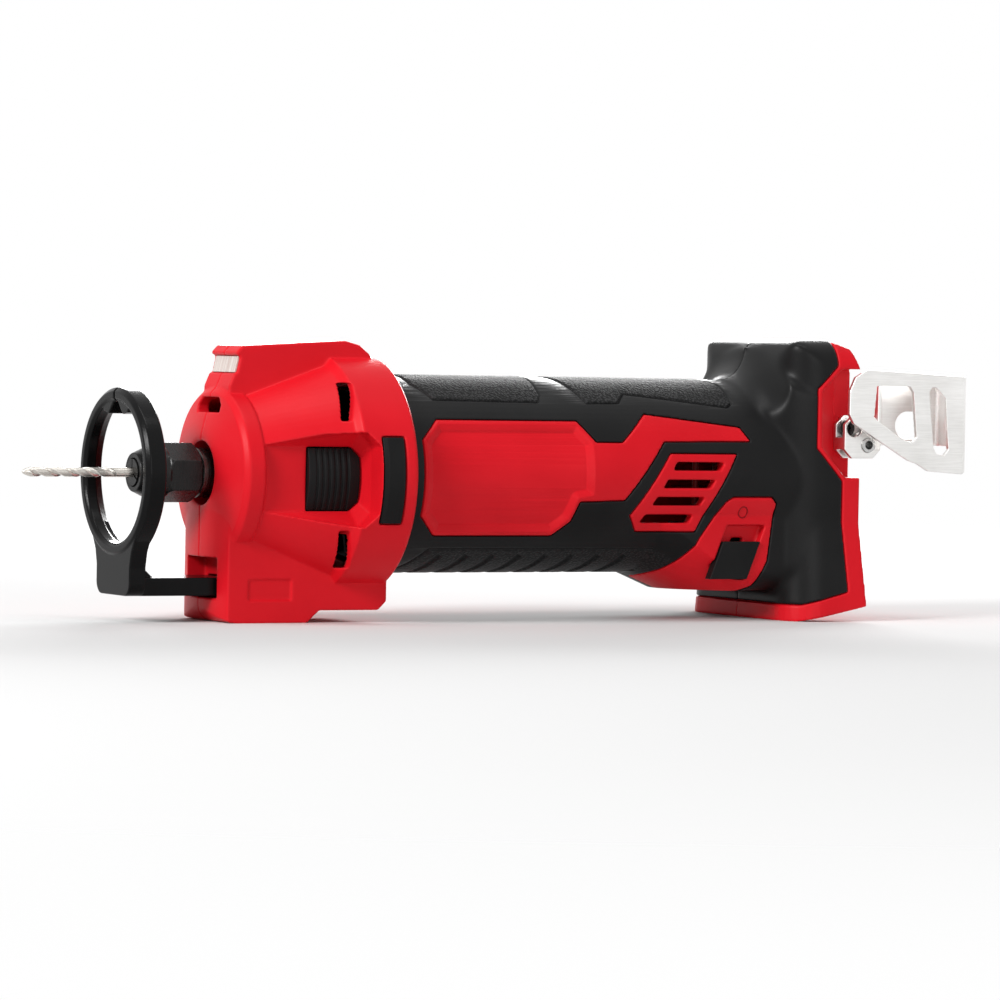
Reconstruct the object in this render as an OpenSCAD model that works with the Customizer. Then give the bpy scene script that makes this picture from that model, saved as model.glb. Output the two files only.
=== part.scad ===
// Cordless drywall cut-out tool: spiral bit, depth guide, clamshell nose and handle, folding hook.
// The tool lies along X with its nose toward -X. Inside the modules x is measured from the rim of
// the nose face toward the rear and z from the spindle axis. The user's left side is -Y.

/* [Nose] */
// How far the underside of the block lies below the collar
block_drop = 9; // [7:0.5:14]
// Diameter of the round nose face
face_d = 56; // [52:1:60]
// Depth of the rim around the nose face
face_rim = 7; // [6:0.5:9]
// How far the middle of the nose face stands ahead of its rim
hub_rise = 3.5; // [2:0.5:4.5]
// Opening in the nose face around the collet nut
face_bore_d = 21; // [20.4:0.2:23]
// Length of the nose housing
nose_len = 57; // [56:1:64]
// Length of the collar band at the rear of the nose
collar_len = 19; // [17:0.5:20]
// How far the collar stands out from the grip
collar_step = 6.5; // [6:0.5:9]
// Wall of the nose housing
nose_wall = 2.6; // [2.2:0.1:3]
// Width of the block under the nose face
block_w = 34; // [31:1:40]
// Length of the deep front part of the block
block_len = 28; // [24:1:32]
// Rise of the rear part of the block above the resting surface
block_step = 4; // [2:0.5:5]
// How far the side edges of the block's front lie behind its middle
block_bow = 2.8; // [1.5:0.1:4]
// Width of the light hood on top of the nose
hood_w = 20; // [19:0.5:26]
// Height of the hood over the spindle axis at its rear
hood_top = 44; // [43:0.5:48]
// Width of the work light lens
lens_w = 16.8; // [12:0.2:17]
// Height of the work light lens
lens_h = 5.3; // [3.5:0.1:5.5]

/* [Handle] */
// Diameter of the grip
grip_d = 66; // [63:0.5:70]
// Length of the grip from the collar to the battery foot
grip_len = 145; // [141:1:165]
// Thickness of the soft overmould
grip_t = 1.6; // [1.2:0.1:2]
// Wall of the handle shell under the overmould
shell_t = 2.4; // [2:0.1:3]
// Length of the name panel on the grip
panel_len = 65.5; // [50:0.5:68]
// Height of the name panel
panel_h = 38; // [30:1:40]
// Depth of the panel's recessed middle
panel_depth = 0.7; // [0.4:0.1:1]
// Number of slots in the air grille
grille_slots = 4; // [3:1:5]
// Height of one grille slot
grille_slot_h = 2.9; // [2:0.1:3.4]

/* [Battery foot] */
// Width of the foot
foot_w = 70; // [68:1:78]
// Length of the foot along the tool
foot_len = 26; // [25:0.5:34]
// Height of the top of the foot over the spindle axis
foot_top = 47.5; // [46:0.5:54]
// How far the foot flares out toward its base
foot_flare = 3.5; // [1:0.25:4]
// Corner radius of the foot
foot_r = 13; // [8:0.5:15]
// Depth of the bay for the battery rails
bay_depth = 13; // [12:0.5:16]
// Width of the battery bay
bay_w = 46; // [42:1:48]
// How far each battery rail stands out from the side of the bay
rail_out = 4; // [2:0.5:5]

/* [Spindle] */
// Diameter of the bit's shank
bit_d = 3.175; // [3:0.005:3.3]
// Reach of the bit ahead of the face rim
bit_reach = 66.5; // [60:0.5:80]
// Length of the bit's flutes
flute_len = 28; // [20:1:30]
// Collet nut across the flats
nut_af = 17; // [16:0.5:17.5]
// Length of the collet nut
nut_len = 21; // [19:0.5:23]
// Bore of the front bearing
front_bearing_id = 10; // [9:0.5:11]
// Outside diameter of the front bearing
front_bearing_od = 26; // [24:0.5:28]
// Width of the front bearing
front_bearing_w = 8; // [7:0.5:9]
// Bore of the rear bearing, the diameter of the motor shaft
shaft_d = 8; // [7:0.5:8.5]
// Outside diameter of the rear bearing
rear_bearing_od = 22; // [20:0.5:24]
// Width of the rear bearing
rear_bearing_w = 7; // [6:0.5:8]
// Diameter of the cooling fan
fan_d = 55; // [48:0.5:56]
// Number of fan blades
fan_blades = 11; // [7:1:13]

/* [Motor] */
// Gap between the armature and the magnets
air_gap = 0.55; // [0.4:0.05:0.8]
// Length of the motor can
can_len = 52; // [48:1:56]
// Wall of the motor can
can_wall = 2.5; // [2:0.1:3]
// Thickness of the magnets
magnet_t = 3; // [2:0.1:3.5]
// Diameter of the armature stack
armature_d = 40.8; // [38:0.2:41]
// Diameter of the commutator
commutator_d = 20; // [18:0.5:22]

/* [Spindle lock and switch] */
// Gap between the lock button's flange and the fan behind it
button_gap = 1.9; // [1:0.1:4]
// Height of the lock button's window
window_h = 21; // [18:0.5:22]
// Travel of the lock button
lock_travel = 2; // [1:0.25:2.5]
// Diameter of the lock pin
lock_pin_d = 5; // [4:0.5:6]
// Length of the switch recess along its slant
switch_run = 20; // [18:0.5:21]
// Width of the switch recess along the tool
switch_w = 15; // [12:0.5:16]
// Length of the switch slider along its slant
slider_len = 13.6; // [11:0.2:14]
// Depth of the switch recess
switch_depth = 3; // [2:0.25:3.5]

/* [Depth guide] */
// Distance from the face rim forward to the guide ring's front
guide_out = 34.7; // [33:0.1:38]
// Outside diameter of the guide ring
guide_od = 55; // [52:0.5:58]
// Radial width of the guide ring
guide_rim = 4.4; // [3.5:0.1:5]
// Depth of the guide ring along the tool
guide_depth = 7; // [6:0.5:8]
// Width of the split at the top of the ring
guide_slit = 1; // [0.6:0.1:2]
// Width of the guide's stem
stem_w = 26.5; // [22:0.5:28]
// Thickness of the guide's stem
stem_t = 5.75; // [4:0.25:6]
// Width of the guide's sliding arm
arm_w = 20; // [16:0.5:21]
// Thickness of the guide's sliding arm
arm_t = 5.9; // [5:0.1:6.4]
// Thickness of the block under the guide's sliding arm
block_floor = 8.7; // [7.5:0.1:9.3]
// Length of the arm inside the nose at rest
arm_in = 24; // [22:1:25]

/* [Hook] */
// Sheet thickness of the hook and its bracket
sheet_t = 1.6; // [1.2:0.1:2]
// How far the hook reaches behind the foot
hook_reach = 40; // [36:0.5:50]
// Height of the hook's outer plate
hook_h = 36; // [33:0.5:40]
// Clear width between the hook's plates
hook_gap = 16; // [14.5:0.5:18]
// Outside diameter of the hook pin
hook_pin_d = 5; // [4:0.25:6]

/* [Fits] */
// Gap of parts that slide or seat in one another
fit = 0.1; // [0.05:0.01:0.15]
// Radial gap of a running shaft
run_fit = 0.03; // [0.02:0.01:0.08]
// Gap between parts that move past each other
move_gap = 0.3; // [0.25:0.05:0.45]
// Seam between the overmould and the red islands
seam = 0.3; // [0.2:0.05:0.4]
// Diameter of the housing screws
screw_d = 3; // [2.5:0.1:3.4]

/* [Hidden] */
$fn = 96;
red = "#d5212e";
black = "#252525";
steel = "#c9c9c6";
dark_steel = "#3a3a3c";
copper = "#b87333";
far = 100;
eps = 0.01;

// Radii of the main turned forms
face_r = face_d / 2;
face_bore_r = face_bore_d / 2;
grip_r = grip_d / 2;
core_r = grip_r - grip_t;
bore_r = core_r - shell_t;
collar_r = grip_r + collar_step;
cone_r0 = face_r - 0.8;
cone_r1 = collar_r - 2.5;
neck_r = core_r + fit;
axis_h = collar_r + block_drop;

// Places along the nose
collar_x = nose_len - collar_len;
lip_t = 3.5;
face_wall = 3.5;
front_bearing_x = face_rim + 6;
front_bearing_x1 = front_bearing_x + front_bearing_w;
seat_r = front_bearing_od / 2 + 3;
lock_w = 8;
lock_x = front_bearing_x1 + 6 + lock_w / 2;
lock_collar_r = 11;
side_dz = -1.2;
channel_y = 24.5;
channel_wall = 2.4;
fan_w = 6.8;
fan_x1 = nose_len - 5;
fan_x = fan_x1 - fan_w;
button_flange = 1.3;
window_x = lock_x - 8;
window_x1 = fan_x - button_gap - button_flange;
channel_flare = 5;
pad_len = 28;
pad_w = 7.6;
pad_x = nose_len - 12.6;
pad_seat = 1.8;
pad_proud = 0.4;
vent_w = 3.3;
vent_x = collar_x - 0.9 - vent_w;

// Light hood, over the top of the nose
hood_x = 4.4;
hood_x1 = nose_len - 4;
lens_z1 = hood_top - 5.7;
lens_z = lens_z1 - lens_h;
lens_t = 3;

// Guide block, under the nose
floor_z = -axis_h;
block_x0 = -hub_rise;
block_bow_r = (pow(block_w / 2, 2) + pow(block_bow, 2)) / (2 * block_bow);
arm_z = floor_z + block_floor;
arm_z1 = arm_z + arm_t;
slot_gap = 0.25;
slot_x1 = nose_len - 11;
mouth_x1 = 4.5;
clamp_x = 13;
clamp_d = 5;
clamp_z = (arm_z + arm_z1) / 2;
knob_d = 13;
knob_w = 7;

// Motor places along the tool
can_x = nose_len + 3;
can_x1 = can_x + can_len;
can_r = armature_d / 2 + air_gap + magnet_t + fit / 2 + can_wall;
brush_x = can_x1 + 2;
brush_x1 = brush_x + 17;
web_x = brush_x1 + 2;
rear_bearing_x = web_x + 1;
rear_bearing_x1 = rear_bearing_x + rear_bearing_w;
web_x1 = rear_bearing_x1 + 1.5;
shaft_r = shaft_d / 2;
magnet_r1 = can_r - can_wall - fit / 2;
stack_x = can_x + 8;
stack_x1 = can_x1 - 8;

// Handle places along the tool
core_x = nose_len - 7.5;
flange_x1 = nose_len - lip_t - 0.3;
grip_x = nose_len + 0.4;
foot_x = nose_len + grip_len;
foot_x1 = foot_x + foot_len;
foot_half = foot_w / 2;
flare_z = -15;
cove_r = 12;
cove_dip = 0.6;
blend_r = 26;
foot_top_r = 10;
front_flare = 1;
rear_flare = 2.5;
boss_half = grip_r - 2.5;
boss_z = -(grip_r + 5.5);
inner_t = grip_t + shell_t;
bay_x = foot_x1 - bay_depth;
bay_wall_x = bay_x - shell_t;
bay_z1 = 30;
rail_t = 4;
rail_x = foot_x1 - 1.5 - rail_t;

// Switch, in the frame of its slanted recess
switch_lean = atan2(7.3, 18.6);
switch_mid = [foot_x - 19.4, -25.1];
switch_face = boss_half;
switch_floor = switch_face - switch_depth;
switch_travel = switch_run - slider_len - 2 * move_gap;
slider_from = -switch_run / 2 + move_gap;
slider_mid = slider_from + slider_len / 2;
stub_half = 2;

// Hook, on the left rear corner of the foot
pivot_x = foot_x1 + 3;
pivot_z = 11.7;
scoop_y = foot_half - 7.5;
bracket_x = pivot_x - 9.3;
bracket_x1 = pivot_x + 5;
hook_screw_at = [[bracket_x + 3.8, pivot_z + 5.6]];
ear_in = scoop_y;
ear_gap = 4.4;
hook_pin_r = hook_pin_d / 2;
hook_y = foot_half + foot_flare + 2 * move_gap;
hook_x1 = foot_x1 + hook_reach;
hook_x = foot_x1 - 8;
hook_z = pivot_z - 9.7;
hook_z1 = hook_z + hook_h;
inner_y = hook_y - hook_gap - sheet_t;
tongue_y = ear_in + sheet_t + ear_gap / 2 - sheet_t / 2;
step_x = bracket_x1 + 2 * move_gap;

// Collet nut and the threaded end of the spindle
nut_x1 = -hub_rise - 3;
nut_x = nut_x1 - nut_len;
hex_x = nut_x1 - 11.2;
nut_mouth_r = 4.7;
thread_r = 6;
tail_x = hex_x - 1.5;
collet_r = 3.5;
collet_head_r = 5.3;

// Lock button and the bridge behind it, as distances to the left of the middle plane
bridge_y0 = 17;
bridge_y1 = 15.2;
button_r = channel_y + 2;
flange_y0 = channel_y - channel_wall - 0.2;
flange_y1 = flange_y0 - 1.5;

// Name panel, the band behind it and the air grille
panel_x = nose_len + 5.5;
panel_x1 = panel_x + panel_len;
panel_z1 = panel_h / 2 - 0.5;
panel_z = panel_z1 - panel_h;
band_x = foot_x - 53.5;
band_x1 = foot_x - 15;
grille_x = foot_x - 61;
grille_z = -18;
grille_z1 = 8;
grille_y = bore_r - 12;

// Brushes
brush_w = 6;
brush_l = 9;
brush_in = commutator_d / 2 + move_gap;
brush_out = brush_in + 11;
brush_mid = (brush_x + brush_x1) / 2;

// Switch module, control board, leads and terminals
module_x = switch_mid[0] - 13;
module_x1 = switch_mid[0] + 11;
module_y0 = 21;
module_y1 = 6;
module_z = -31.5;
module_z1 = -15.5;
board_x = web_x1 + 9.5;
board_x1 = foot_x - 17;
board_half = 25;
board_z = 6;
board_t = 1.6;
plug_len = 6;
plug_h = 5;
lead_r = 1.1;
lead_y = 9;
lead_z = board_z + board_t + 2.5;
block_half = 15;
block_z = 2;
block_z1 = 16;
block_x = bay_wall_x - 4;
block_x1 = bay_x + 4;
blades = 4;
blade_pitch = 7;
blade_t = 1;

// Housing screws: x, z, depth of the head's seat from the middle plane
head_d = 5.6;
head_h = 2.2;
nose_screw_at = [
    [nose_len - 7, floor_z + 8, block_w / 2 - 3],
    [24, floor_z + 3.8, block_w / 2 - 3],
    [nose_len - 13, hood_top - 3.7, hood_w / 2 - 3]
];
handle_screw_at = [
    [web_x1 + 4.5, 22, 17],
    [web_x1 + 4.5, -22, 17],
    [foot_x - 6, 23, 19],
    [foot_x, -28, boss_half - 4],
    [foot_x + 9, 38, foot_half - 5]
];

module place() {
    translate([-(hook_x1 - bit_reach) / 2, 0, axis_h]) children();
}

// A round bar of radius r on the tool's axis
module rod(r, x0, x1) {
    translate([x0, 0, 0]) rotate([0, 90, 0]) cylinder(r = r, h = x1 - x0);
}

module tube(ro, ri, x0, x1) {
    difference() {
        rod(ro, x0, x1);
        rod(ri, x0 - 1, x1 + 1);
    }
}

// Turns a list of [radius, x] points about the tool's axis
module turned(points) {
    rotate([0, 90, 0]) rotate_extrude() polygon(points);
}

// Extrudes a side view, drawn as x and z, between two distances to the side
module along_y(y0, y1) {
    translate([0, y1, 0]) rotate([90, 0, 0]) linear_extrude(y1 - y0) children();
}

// Extrudes a front view, drawn as y and z, along the tool
module along_x(x0, x1) {
    translate([x0, 0, 0]) rotate([90, 0, 90]) linear_extrude(x1 - x0) children();
}

module along_z(z0, z1) {
    translate([0, 0, z0]) linear_extrude(z1 - z0) children();
}

// A round pin of radius r across the tool
module cross_pin(r, x, z, y0, y1) {
    translate([x, y1, z]) rotate([90, 0, 0]) cylinder(r = r, h = y1 - y0);
}

module block(x0, x1, y0, y1, z0, z1) {
    translate([x0, y0, z0]) cube([x1 - x0, y1 - y0, z1 - z0]);
}

module round_rect(x0, x1, y0, y1, r) {
    translate([x0 + r, y0]) square([x1 - x0 - 2 * r, y1 - y0]);
    translate([x0, y0 + r]) square([x1 - x0, y1 - y0 - 2 * r]);
    for (x = [x0 + r, x1 - r], y = [y0 + r, y1 - r]) translate([x, y]) circle(r);
}

// The half space on one side of the middle plane
module half(side) {
    translate([-far, side < 0 ? -far : 0, -far]) cube([5 * far, far, 2 * far]);
}

// Cutting bit

module flute_section() {
    r = bit_d / 2;
    difference() {
        circle(r, $fn = 20);
        for (a = [0, 180]) rotate(a) translate([r * 1.05, 0]) circle(r * 0.62, $fn = 14);
    }
}

module bit() {
    r = bit_d / 2;
    point = 3.5;
    flute_x = -bit_reach + point;
    turns = 2.5;
    color(steel) place() {
        rod(r, flute_x + flute_len, -nut_len + 8);
        translate([flute_x, 0, 0]) rotate([0, 90, 0])
            linear_extrude(flute_len, twist = -360 * turns, slices = 48, $fn = 20) flute_section();
        turned([
            [0, -bit_reach], [r * 0.35, -bit_reach], [r * 0.62, -bit_reach + 0.8],
            [r * 0.62, flute_x + eps], [0, flute_x + eps]
        ]);
    }
}

// Collet and nut

module collet() {
    bore = bit_d / 2 + run_fit;
    slits = 3;
    color(dark_steel) place() difference() {
        turned([
            [bore, nut_x - 0.4], [nut_mouth_r - 0.3, nut_x - 0.4], [collet_head_r, tail_x - 0.8],
            [collet_head_r, tail_x - 0.2], [collet_r, tail_x - 0.2], [collet_r, nut_x1 - 1],
            [bore, nut_x1 - 1]
        ]);
        for (a = [0:360 / slits:359]) rotate([a, 0, 0]) block(nut_x - 1, tail_x + 5, -0.3, 0.3, 0, far);
    }
}

module collet_nut() {
    hex_r = nut_af / sqrt(3);
    hex_turn = 5;
    color(dark_steel) place() difference() {
        union() {
            intersection() {
                translate([hex_x, 0, 0]) rotate([0, 90, 0]) rotate(hex_turn)
                    cylinder(r = hex_r, h = nut_x1 - hex_x, $fn = 6);
                turned([
                    [0, hex_x], [nut_af / 2 + 0.6, hex_x], [hex_r, hex_x + 1.2], [hex_r, nut_x1 - 0.8],
                    [nut_af / 2 + 0.4, nut_x1], [0, nut_x1]
                ]);
            }
            turned([
                [0, nut_x], [nut_mouth_r + 1.6, nut_x], [nut_af / 2 - 0.7, hex_x - 6.5],
                [nut_af / 2 + 0.3, hex_x - 3.5], [nut_af / 2 + 0.3, hex_x + eps], [0, hex_x + eps]
            ]);
        }
        rod(thread_r + fit, tail_x - fit, nut_x1 + 1);
        turned([
            [0, nut_x - 1], [nut_mouth_r, nut_x - 1], [nut_mouth_r, nut_x], [collet_head_r + 0.2, tail_x - 0.8],
            [collet_head_r + 0.2, tail_x], [0, tail_x]
        ]);
    }
}

module spindle() {
    shoulder_r = face_bore_r - 2.3;
    front_r = front_bearing_id / 2;
    color(steel) place() difference() {
        turned([
            [0, tail_x], [thread_r, tail_x], [thread_r, nut_x1 + 0.05], [shoulder_r - 0.8, nut_x1 + 0.05],
            [shoulder_r, nut_x1 + 0.9], [shoulder_r, front_bearing_x - 0.4], [front_r, front_bearing_x - 0.4],
            [front_r, front_bearing_x1 + 0.4], [front_r + 1.5, front_bearing_x1 + 0.4],
            [front_r + 1.5, lock_x - lock_w / 2], [lock_collar_r, lock_x - lock_w / 2],
            [lock_collar_r, lock_x + lock_w / 2], [shaft_r + 2, lock_x + lock_w / 2], [shaft_r + 2, fan_x],
            [shaft_r, fan_x], [shaft_r, rear_bearing_x1 + 0.5], [0, rear_bearing_x1 + 0.5]
        ]);
        rod(collet_r + fit, tail_x - 1, nut_x1 - 0.5);
        cross_pin(lock_pin_d / 2 + move_gap, lock_x, 0, -far, far);
    }
}

// Rotor

module fan() {
    hub_r = shaft_r + 5;
    blade_t = 1.4;
    plate_t = 1.6;
    color(black) place() difference() {
        union() {
            rod(hub_r, fan_x, fan_x1);
            rod(fan_d / 2, fan_x1 - plate_t, fan_x1);
            for (i = [0:fan_blades - 1]) rotate([i * 360 / fan_blades, 0, 0])
                block(fan_x + 1, fan_x1 - eps, -blade_t / 2, blade_t / 2, hub_r - 1, fan_d / 2 - 0.2);
        }
        rod(shaft_r, fan_x - 1, fan_x1 + 1);
    }
}

module armature() {
    slots = 12;
    color(dark_steel) place() difference() {
        rod(armature_d / 2, stack_x, stack_x1);
        rod(shaft_r, stack_x - 1, stack_x1 + 1);
        for (i = [0:slots - 1]) rotate([i * 360 / slots, 0, 0])
            block(stack_x - 1, stack_x1 + 1, -0.9, 0.9, armature_d / 2 - 3, far);
    }
}

module windings() {
    r0 = shaft_r + 3;
    r1 = armature_d / 2 - 3.5;
    w = 6.4;
    color(copper) place()
        for (x = [stack_x - w, stack_x1]) turned([
            [r0, x], [r1 - 2, x], [r1, x + 2], [r1, x + w - 2], [r1 - 2, x + w], [r0, x + w]
        ]);
}

module commutator() {
    bars = 24;
    x0 = brush_x + 2;
    x1 = brush_x1 - 2;
    color(copper) place() difference() {
        rod(commutator_d / 2, x0, x1);
        rod(shaft_r, x0 - 1, x1 + 1);
        for (i = [0:bars - 1]) rotate([i * 360 / bars, 0, 0])
            block(x0 - 1, x1 + 1, -0.2, 0.2, commutator_d / 2 - 1, far);
    }
}

// Nose housing

module hood_form() {
    half_w = hood_w / 2;
    along_y(-half_w, half_w) polygon([
        [1.8, 0], [1.8, face_r + 0.4], [hood_x - 0.8, lens_z - 0.5], [hood_x + 0.2, lens_z],
        [hood_x + 1.4, lens_z1], [hood_x, lens_z1 + 0.6], [hood_x, lens_z1 + 1.4],
        [hood_x + 1.9, hood_top - 2.3], [hood_x1 - 9.3, hood_top], [hood_x1 - 4, hood_top - 1.3],
        [hood_x1, collar_r], [hood_x1, 0]
    ]);
}

module block_form() {
    half_w = block_w / 2;
    rear_z = floor_z + block_step;
    toe_r = 5.5;
    toe = [for (a = [180:15:270]) [block_x0 + toe_r * (1 + cos(a)), floor_z + toe_r * (1 + sin(a))]];
    intersection() {
        along_y(-half_w, half_w) polygon(concat([[block_x0, 0]], toe, [
            [block_len, floor_z], [block_len + block_step + 0.5, rear_z],
            [nose_len - 3, rear_z], [nose_len, rear_z + 3], [nose_len, 0]
        ]));
        translate([block_x0 + block_bow_r, 0, floor_z - 1]) cylinder(r = block_bow_r, h = axis_h + 2);
    }
}

module nose_form() {
    turned([
        [0, -hub_rise], [face_bore_r + 1.5, -hub_rise], [face_r - 1.6, 0], [face_r, 1.6], [face_r, face_rim],
        [cone_r0, face_rim], [cone_r1, collar_x - 2], [collar_r, collar_x], [collar_r, nose_len - 1],
        [collar_r - 1, nose_len], [0, nose_len]
    ]);
    hood_form();
    block_form();
}

module nose_cavity() {
    turned([
        [0, front_bearing_x1 - eps], [seat_r, front_bearing_x1 - eps], [seat_r, face_wall],
        [face_r - 3, face_wall], [face_r - 3, face_rim], [cone_r1 - nose_wall, collar_x - 2],
        [collar_r - nose_wall, collar_x], [collar_r - nose_wall, nose_len - lip_t],
        [neck_r, nose_len - lip_t], [neck_r, nose_len + 1], [0, nose_len + 1]
    ]);
    block(20, 40, -hood_w / 2 + nose_wall, hood_w / 2 - nose_wall, 22, hood_top - 6.5);
}

// Walls round the lock button's channel and the bridge that guides its pin
module channel_walls() {
    reach = window_h / 2 + channel_wall + channel_flare;
    intersection() {
        nose_form();
        block(face_rim, window_x1 + channel_wall, -far, -channel_y + channel_wall,
            side_dz - reach, side_dz + reach);
    }
}

// Side view of the channel, grown by flare toward its rear
module channel_outline(flare) {
    x0 = face_rim + 0.8;
    x1 = window_x1 + flare * 0.35;
    h = window_h / 2;
    cut = 3 + flare * 0.3;
    polygon([
        [x0, side_dz - h - flare * 0.2], [x1 - cut, side_dz - h - flare], [x1, side_dz - h - flare + cut],
        [x1, side_dz + h + flare - cut], [x1 - cut, side_dz + h + flare], [x0, side_dz + h + flare * 0.6]
    ]);
}

// The channel with its sloping sides
module channel_cut() {
    rise = 6;
    hull() {
        along_y(-channel_y - eps, -channel_y) channel_outline(0);
        along_y(-channel_y - rise - eps, -channel_y - rise) channel_outline(channel_flare);
    }
    along_y(-far, -channel_y - rise) channel_outline(channel_flare);
}

module lock_bridge() {
    x0 = lock_x - 6.5;
    x1 = lock_x + 6.5;
    leg_z = window_h / 2 + button_flange + move_gap;
    leg_t = 2;
    block(x0, x1, -bridge_y0, -bridge_y1, side_dz - leg_z - leg_t, side_dz + leg_z + leg_t);
    for (z = [side_dz - leg_z - leg_t, side_dz + leg_z])
        block(x0, x1, -channel_y + 1, -bridge_y1, z, z + leg_t);
}

module window_outline(gap) {
    h = window_h / 2 - gap;
    x0 = window_x + gap;
    x1 = window_x1 - gap;
    cut = 3;
    polygon([
        [x0, side_dz - h], [x1 - cut, side_dz - h], [x1, side_dz - h + cut],
        [x1, side_dz + h - cut], [x1 - cut, side_dz + h], [x0, side_dz + h]
    ]);
}

// The slot that the guide's arm slides in, with a wider mouth at the front
module arm_slot() {
    half_w = arm_w / 2 + slot_gap;
    block(block_x0 - 1, slot_x1, -half_w, half_w, arm_z - slot_gap, arm_z1 + slot_gap);
    block(block_x0 - 1, mouth_x1, -half_w - 1.2, half_w + 1.2, arm_z - 0.8, arm_z1 + 6.4);
}

module arm_slot_walls() {
    half_w = arm_w / 2 + 2.2;
    intersection() {
        nose_form();
        block(block_x0, slot_x1 + 2, -half_w, half_w, floor_z, arm_z1 + slot_gap + 2);
    }
}

module pad_seats(side) {
    grow = 0.4;
    y0 = side < 0 ? -far : 0;
    intersection() {
        tube(far, collar_r - pad_seat, pad_x - grow, pad_x + pad_w + grow);
        block(0, nose_len, y0, y0 + far, side_dz - pad_len / 2 - grow, side_dz + pad_len / 2 + grow);
    }
}

module vents(side) {
    y0 = side < 0 ? -far : 12;
    lean = 1.5;
    along_y(y0, y0 + far - 12) for (s = [-1, 1]) polygon([
        [vent_x - lean, s * 17.8], [vent_x + vent_w - lean, s * 17.8],
        [vent_x + vent_w + lean, s * 30.2], [vent_x + lean, s * 30.2]
    ]);
}

// Blower slot in the face, over the bit
module blower_slot() {
    z0 = face_r - 8.2;
    along_x(-hub_rise - 1, face_wall + 1) polygon([
        [-8.5, z0], [8.5, z0], [8.5, z0 + 2.4], [6, z0 + 5], [-6, z0 + 5], [-8.5, z0 + 2.4]
    ]);
}

module lens_pocket() {
    half_w = lens_w / 2 + fit;
    block(0, hood_x + 12, -half_w, half_w, lens_z - fit, lens_z1 + fit);
}

// Bare recessed name plate on the side of the block
module plate_recess(side) {
    depth = 0.6;
    y = block_w / 2 - depth;
    y0 = side < 0 ? -y - far : y;
    along_y(y0, y0 + far) round_rect(6.5, 22.4, floor_z + 7.2, floor_z + 14.4, 1);
}

module screw_cuts(places) {
    for (s = places) {
        cross_pin(screw_d / 2 + fit / 2, s[0], s[1], -min(11, s[2] + 0.5), s[2] + 1);
        cross_pin(head_d / 2 + 0.2, s[0], s[1], s[2], far);
    }
}

module screws(places) {
    for (s = places) {
        cross_pin(screw_d / 2, s[0], s[1], -min(9, s[2] - 1), s[2] + eps);
        difference() {
            cross_pin(head_d / 2, s[0], s[1], s[2], s[2] + head_h);
            cross_pin(1.3, s[0], s[1], s[2] + 1, far, $fn = 6);
        }
    }
}

module nose_half(side) {
    difference() {
        union() {
            difference() {
                nose_form();
                nose_cavity();
            }
            if (side < 0) channel_walls();
            if (side < 0) lock_bridge();
            arm_slot_walls();
        }
        half(-side);
        rod(face_bore_r, -hub_rise - 1, front_bearing_x + eps);
        rod(front_bearing_od / 2 + fit / 2, front_bearing_x, front_bearing_x1 + 1);
        arm_slot();
        lens_pocket();
        blower_slot();
        vents(side);
        pad_seats(side);
        plate_recess(side);
        screw_cuts(nose_screw_at);
        if (side < 0) {
            channel_cut();
            along_y(-far, -channel_y + channel_wall + 1) window_outline(0);
            cross_pin(lock_pin_d / 2 + fit, lock_x, 0, -bridge_y0 - 1, -bridge_y1 + 1);
        } else {
            cross_pin(clamp_d / 2 + fit, clamp_x, clamp_z, arm_w / 2, far);
        }
    }
}

module nose_left() {
    color(red) place() nose_half(-1);
}

module nose_right() {
    color(red) place() nose_half(1);
}

module nose_screws() {
    color(dark_steel) place() screws(nose_screw_at);
}

module lamp_lens() {
    half_w = lens_w / 2;
    lens_x1 = hood_x + lens_t + 1;
    color("white", 0.6) place() along_y(-half_w, half_w)
        polygon([[hood_x + 1, lens_z1], [hood_x - 0.3, lens_z], [lens_x1, lens_z], [lens_x1, lens_z1]]);
}

module lamp_board() {
    half_w = lens_w / 2;
    x0 = hood_x + 7;
    color("darkgreen") place() {
        block(x0, x0 + 1.6, -half_w, half_w, lens_z, lens_z1);
        block(x0 - 1.2, x0 + eps, -2.5, 2.5, lens_z + 0.8, lens_z1 - 0.8);
    }
}

module front_bearing() {
    color(steel) place() bearing(front_bearing_x, front_bearing_w, front_bearing_id, front_bearing_od);
}

// Deep groove bearing with recessed shields
module bearing(x, w, id, od) {
    race = (od - id) / 8;
    difference() {
        tube(od / 2, id / 2 + run_fit, x, x + w);
        for (s = [x - 1, x + w - 0.5]) tube(od / 2 - race, id / 2 + race, s, s + 1.5);
    }
}

// Spindle lock

module lock_button() {
    ribs = 6;
    rib_step = 2.2;
    color(black) place() difference() {
        union() {
            intersection() {
                along_y(-far, -flange_y1) window_outline(move_gap);
                rod(button_r, 0, nose_len);
            }
            block(window_x - button_flange, window_x1 + button_flange, -flange_y0, -flange_y1,
                side_dz - window_h / 2 - button_flange, side_dz + window_h / 2 + button_flange);
        }
        for (i = [0:ribs - 1]) translate([window_x + 3 + i * rib_step, 0, 0]) tube(far, button_r - 0.5, 0, 0.9);
    }
}

module lock_pin() {
    tip = lock_collar_r + 2 * move_gap + lock_travel;
    color(steel) place() cross_pin(lock_pin_d / 2, lock_x, 0, -flange_y1, -tip);
}

module lock_spring() {
    color(steel) place() difference() {
        cross_pin(lock_pin_d / 2 + 1.2, lock_x, 0, -flange_y1, -bridge_y0);
        cross_pin(lock_pin_d / 2 + 0.4, lock_x, 0, -far, far);
    }
}

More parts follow.
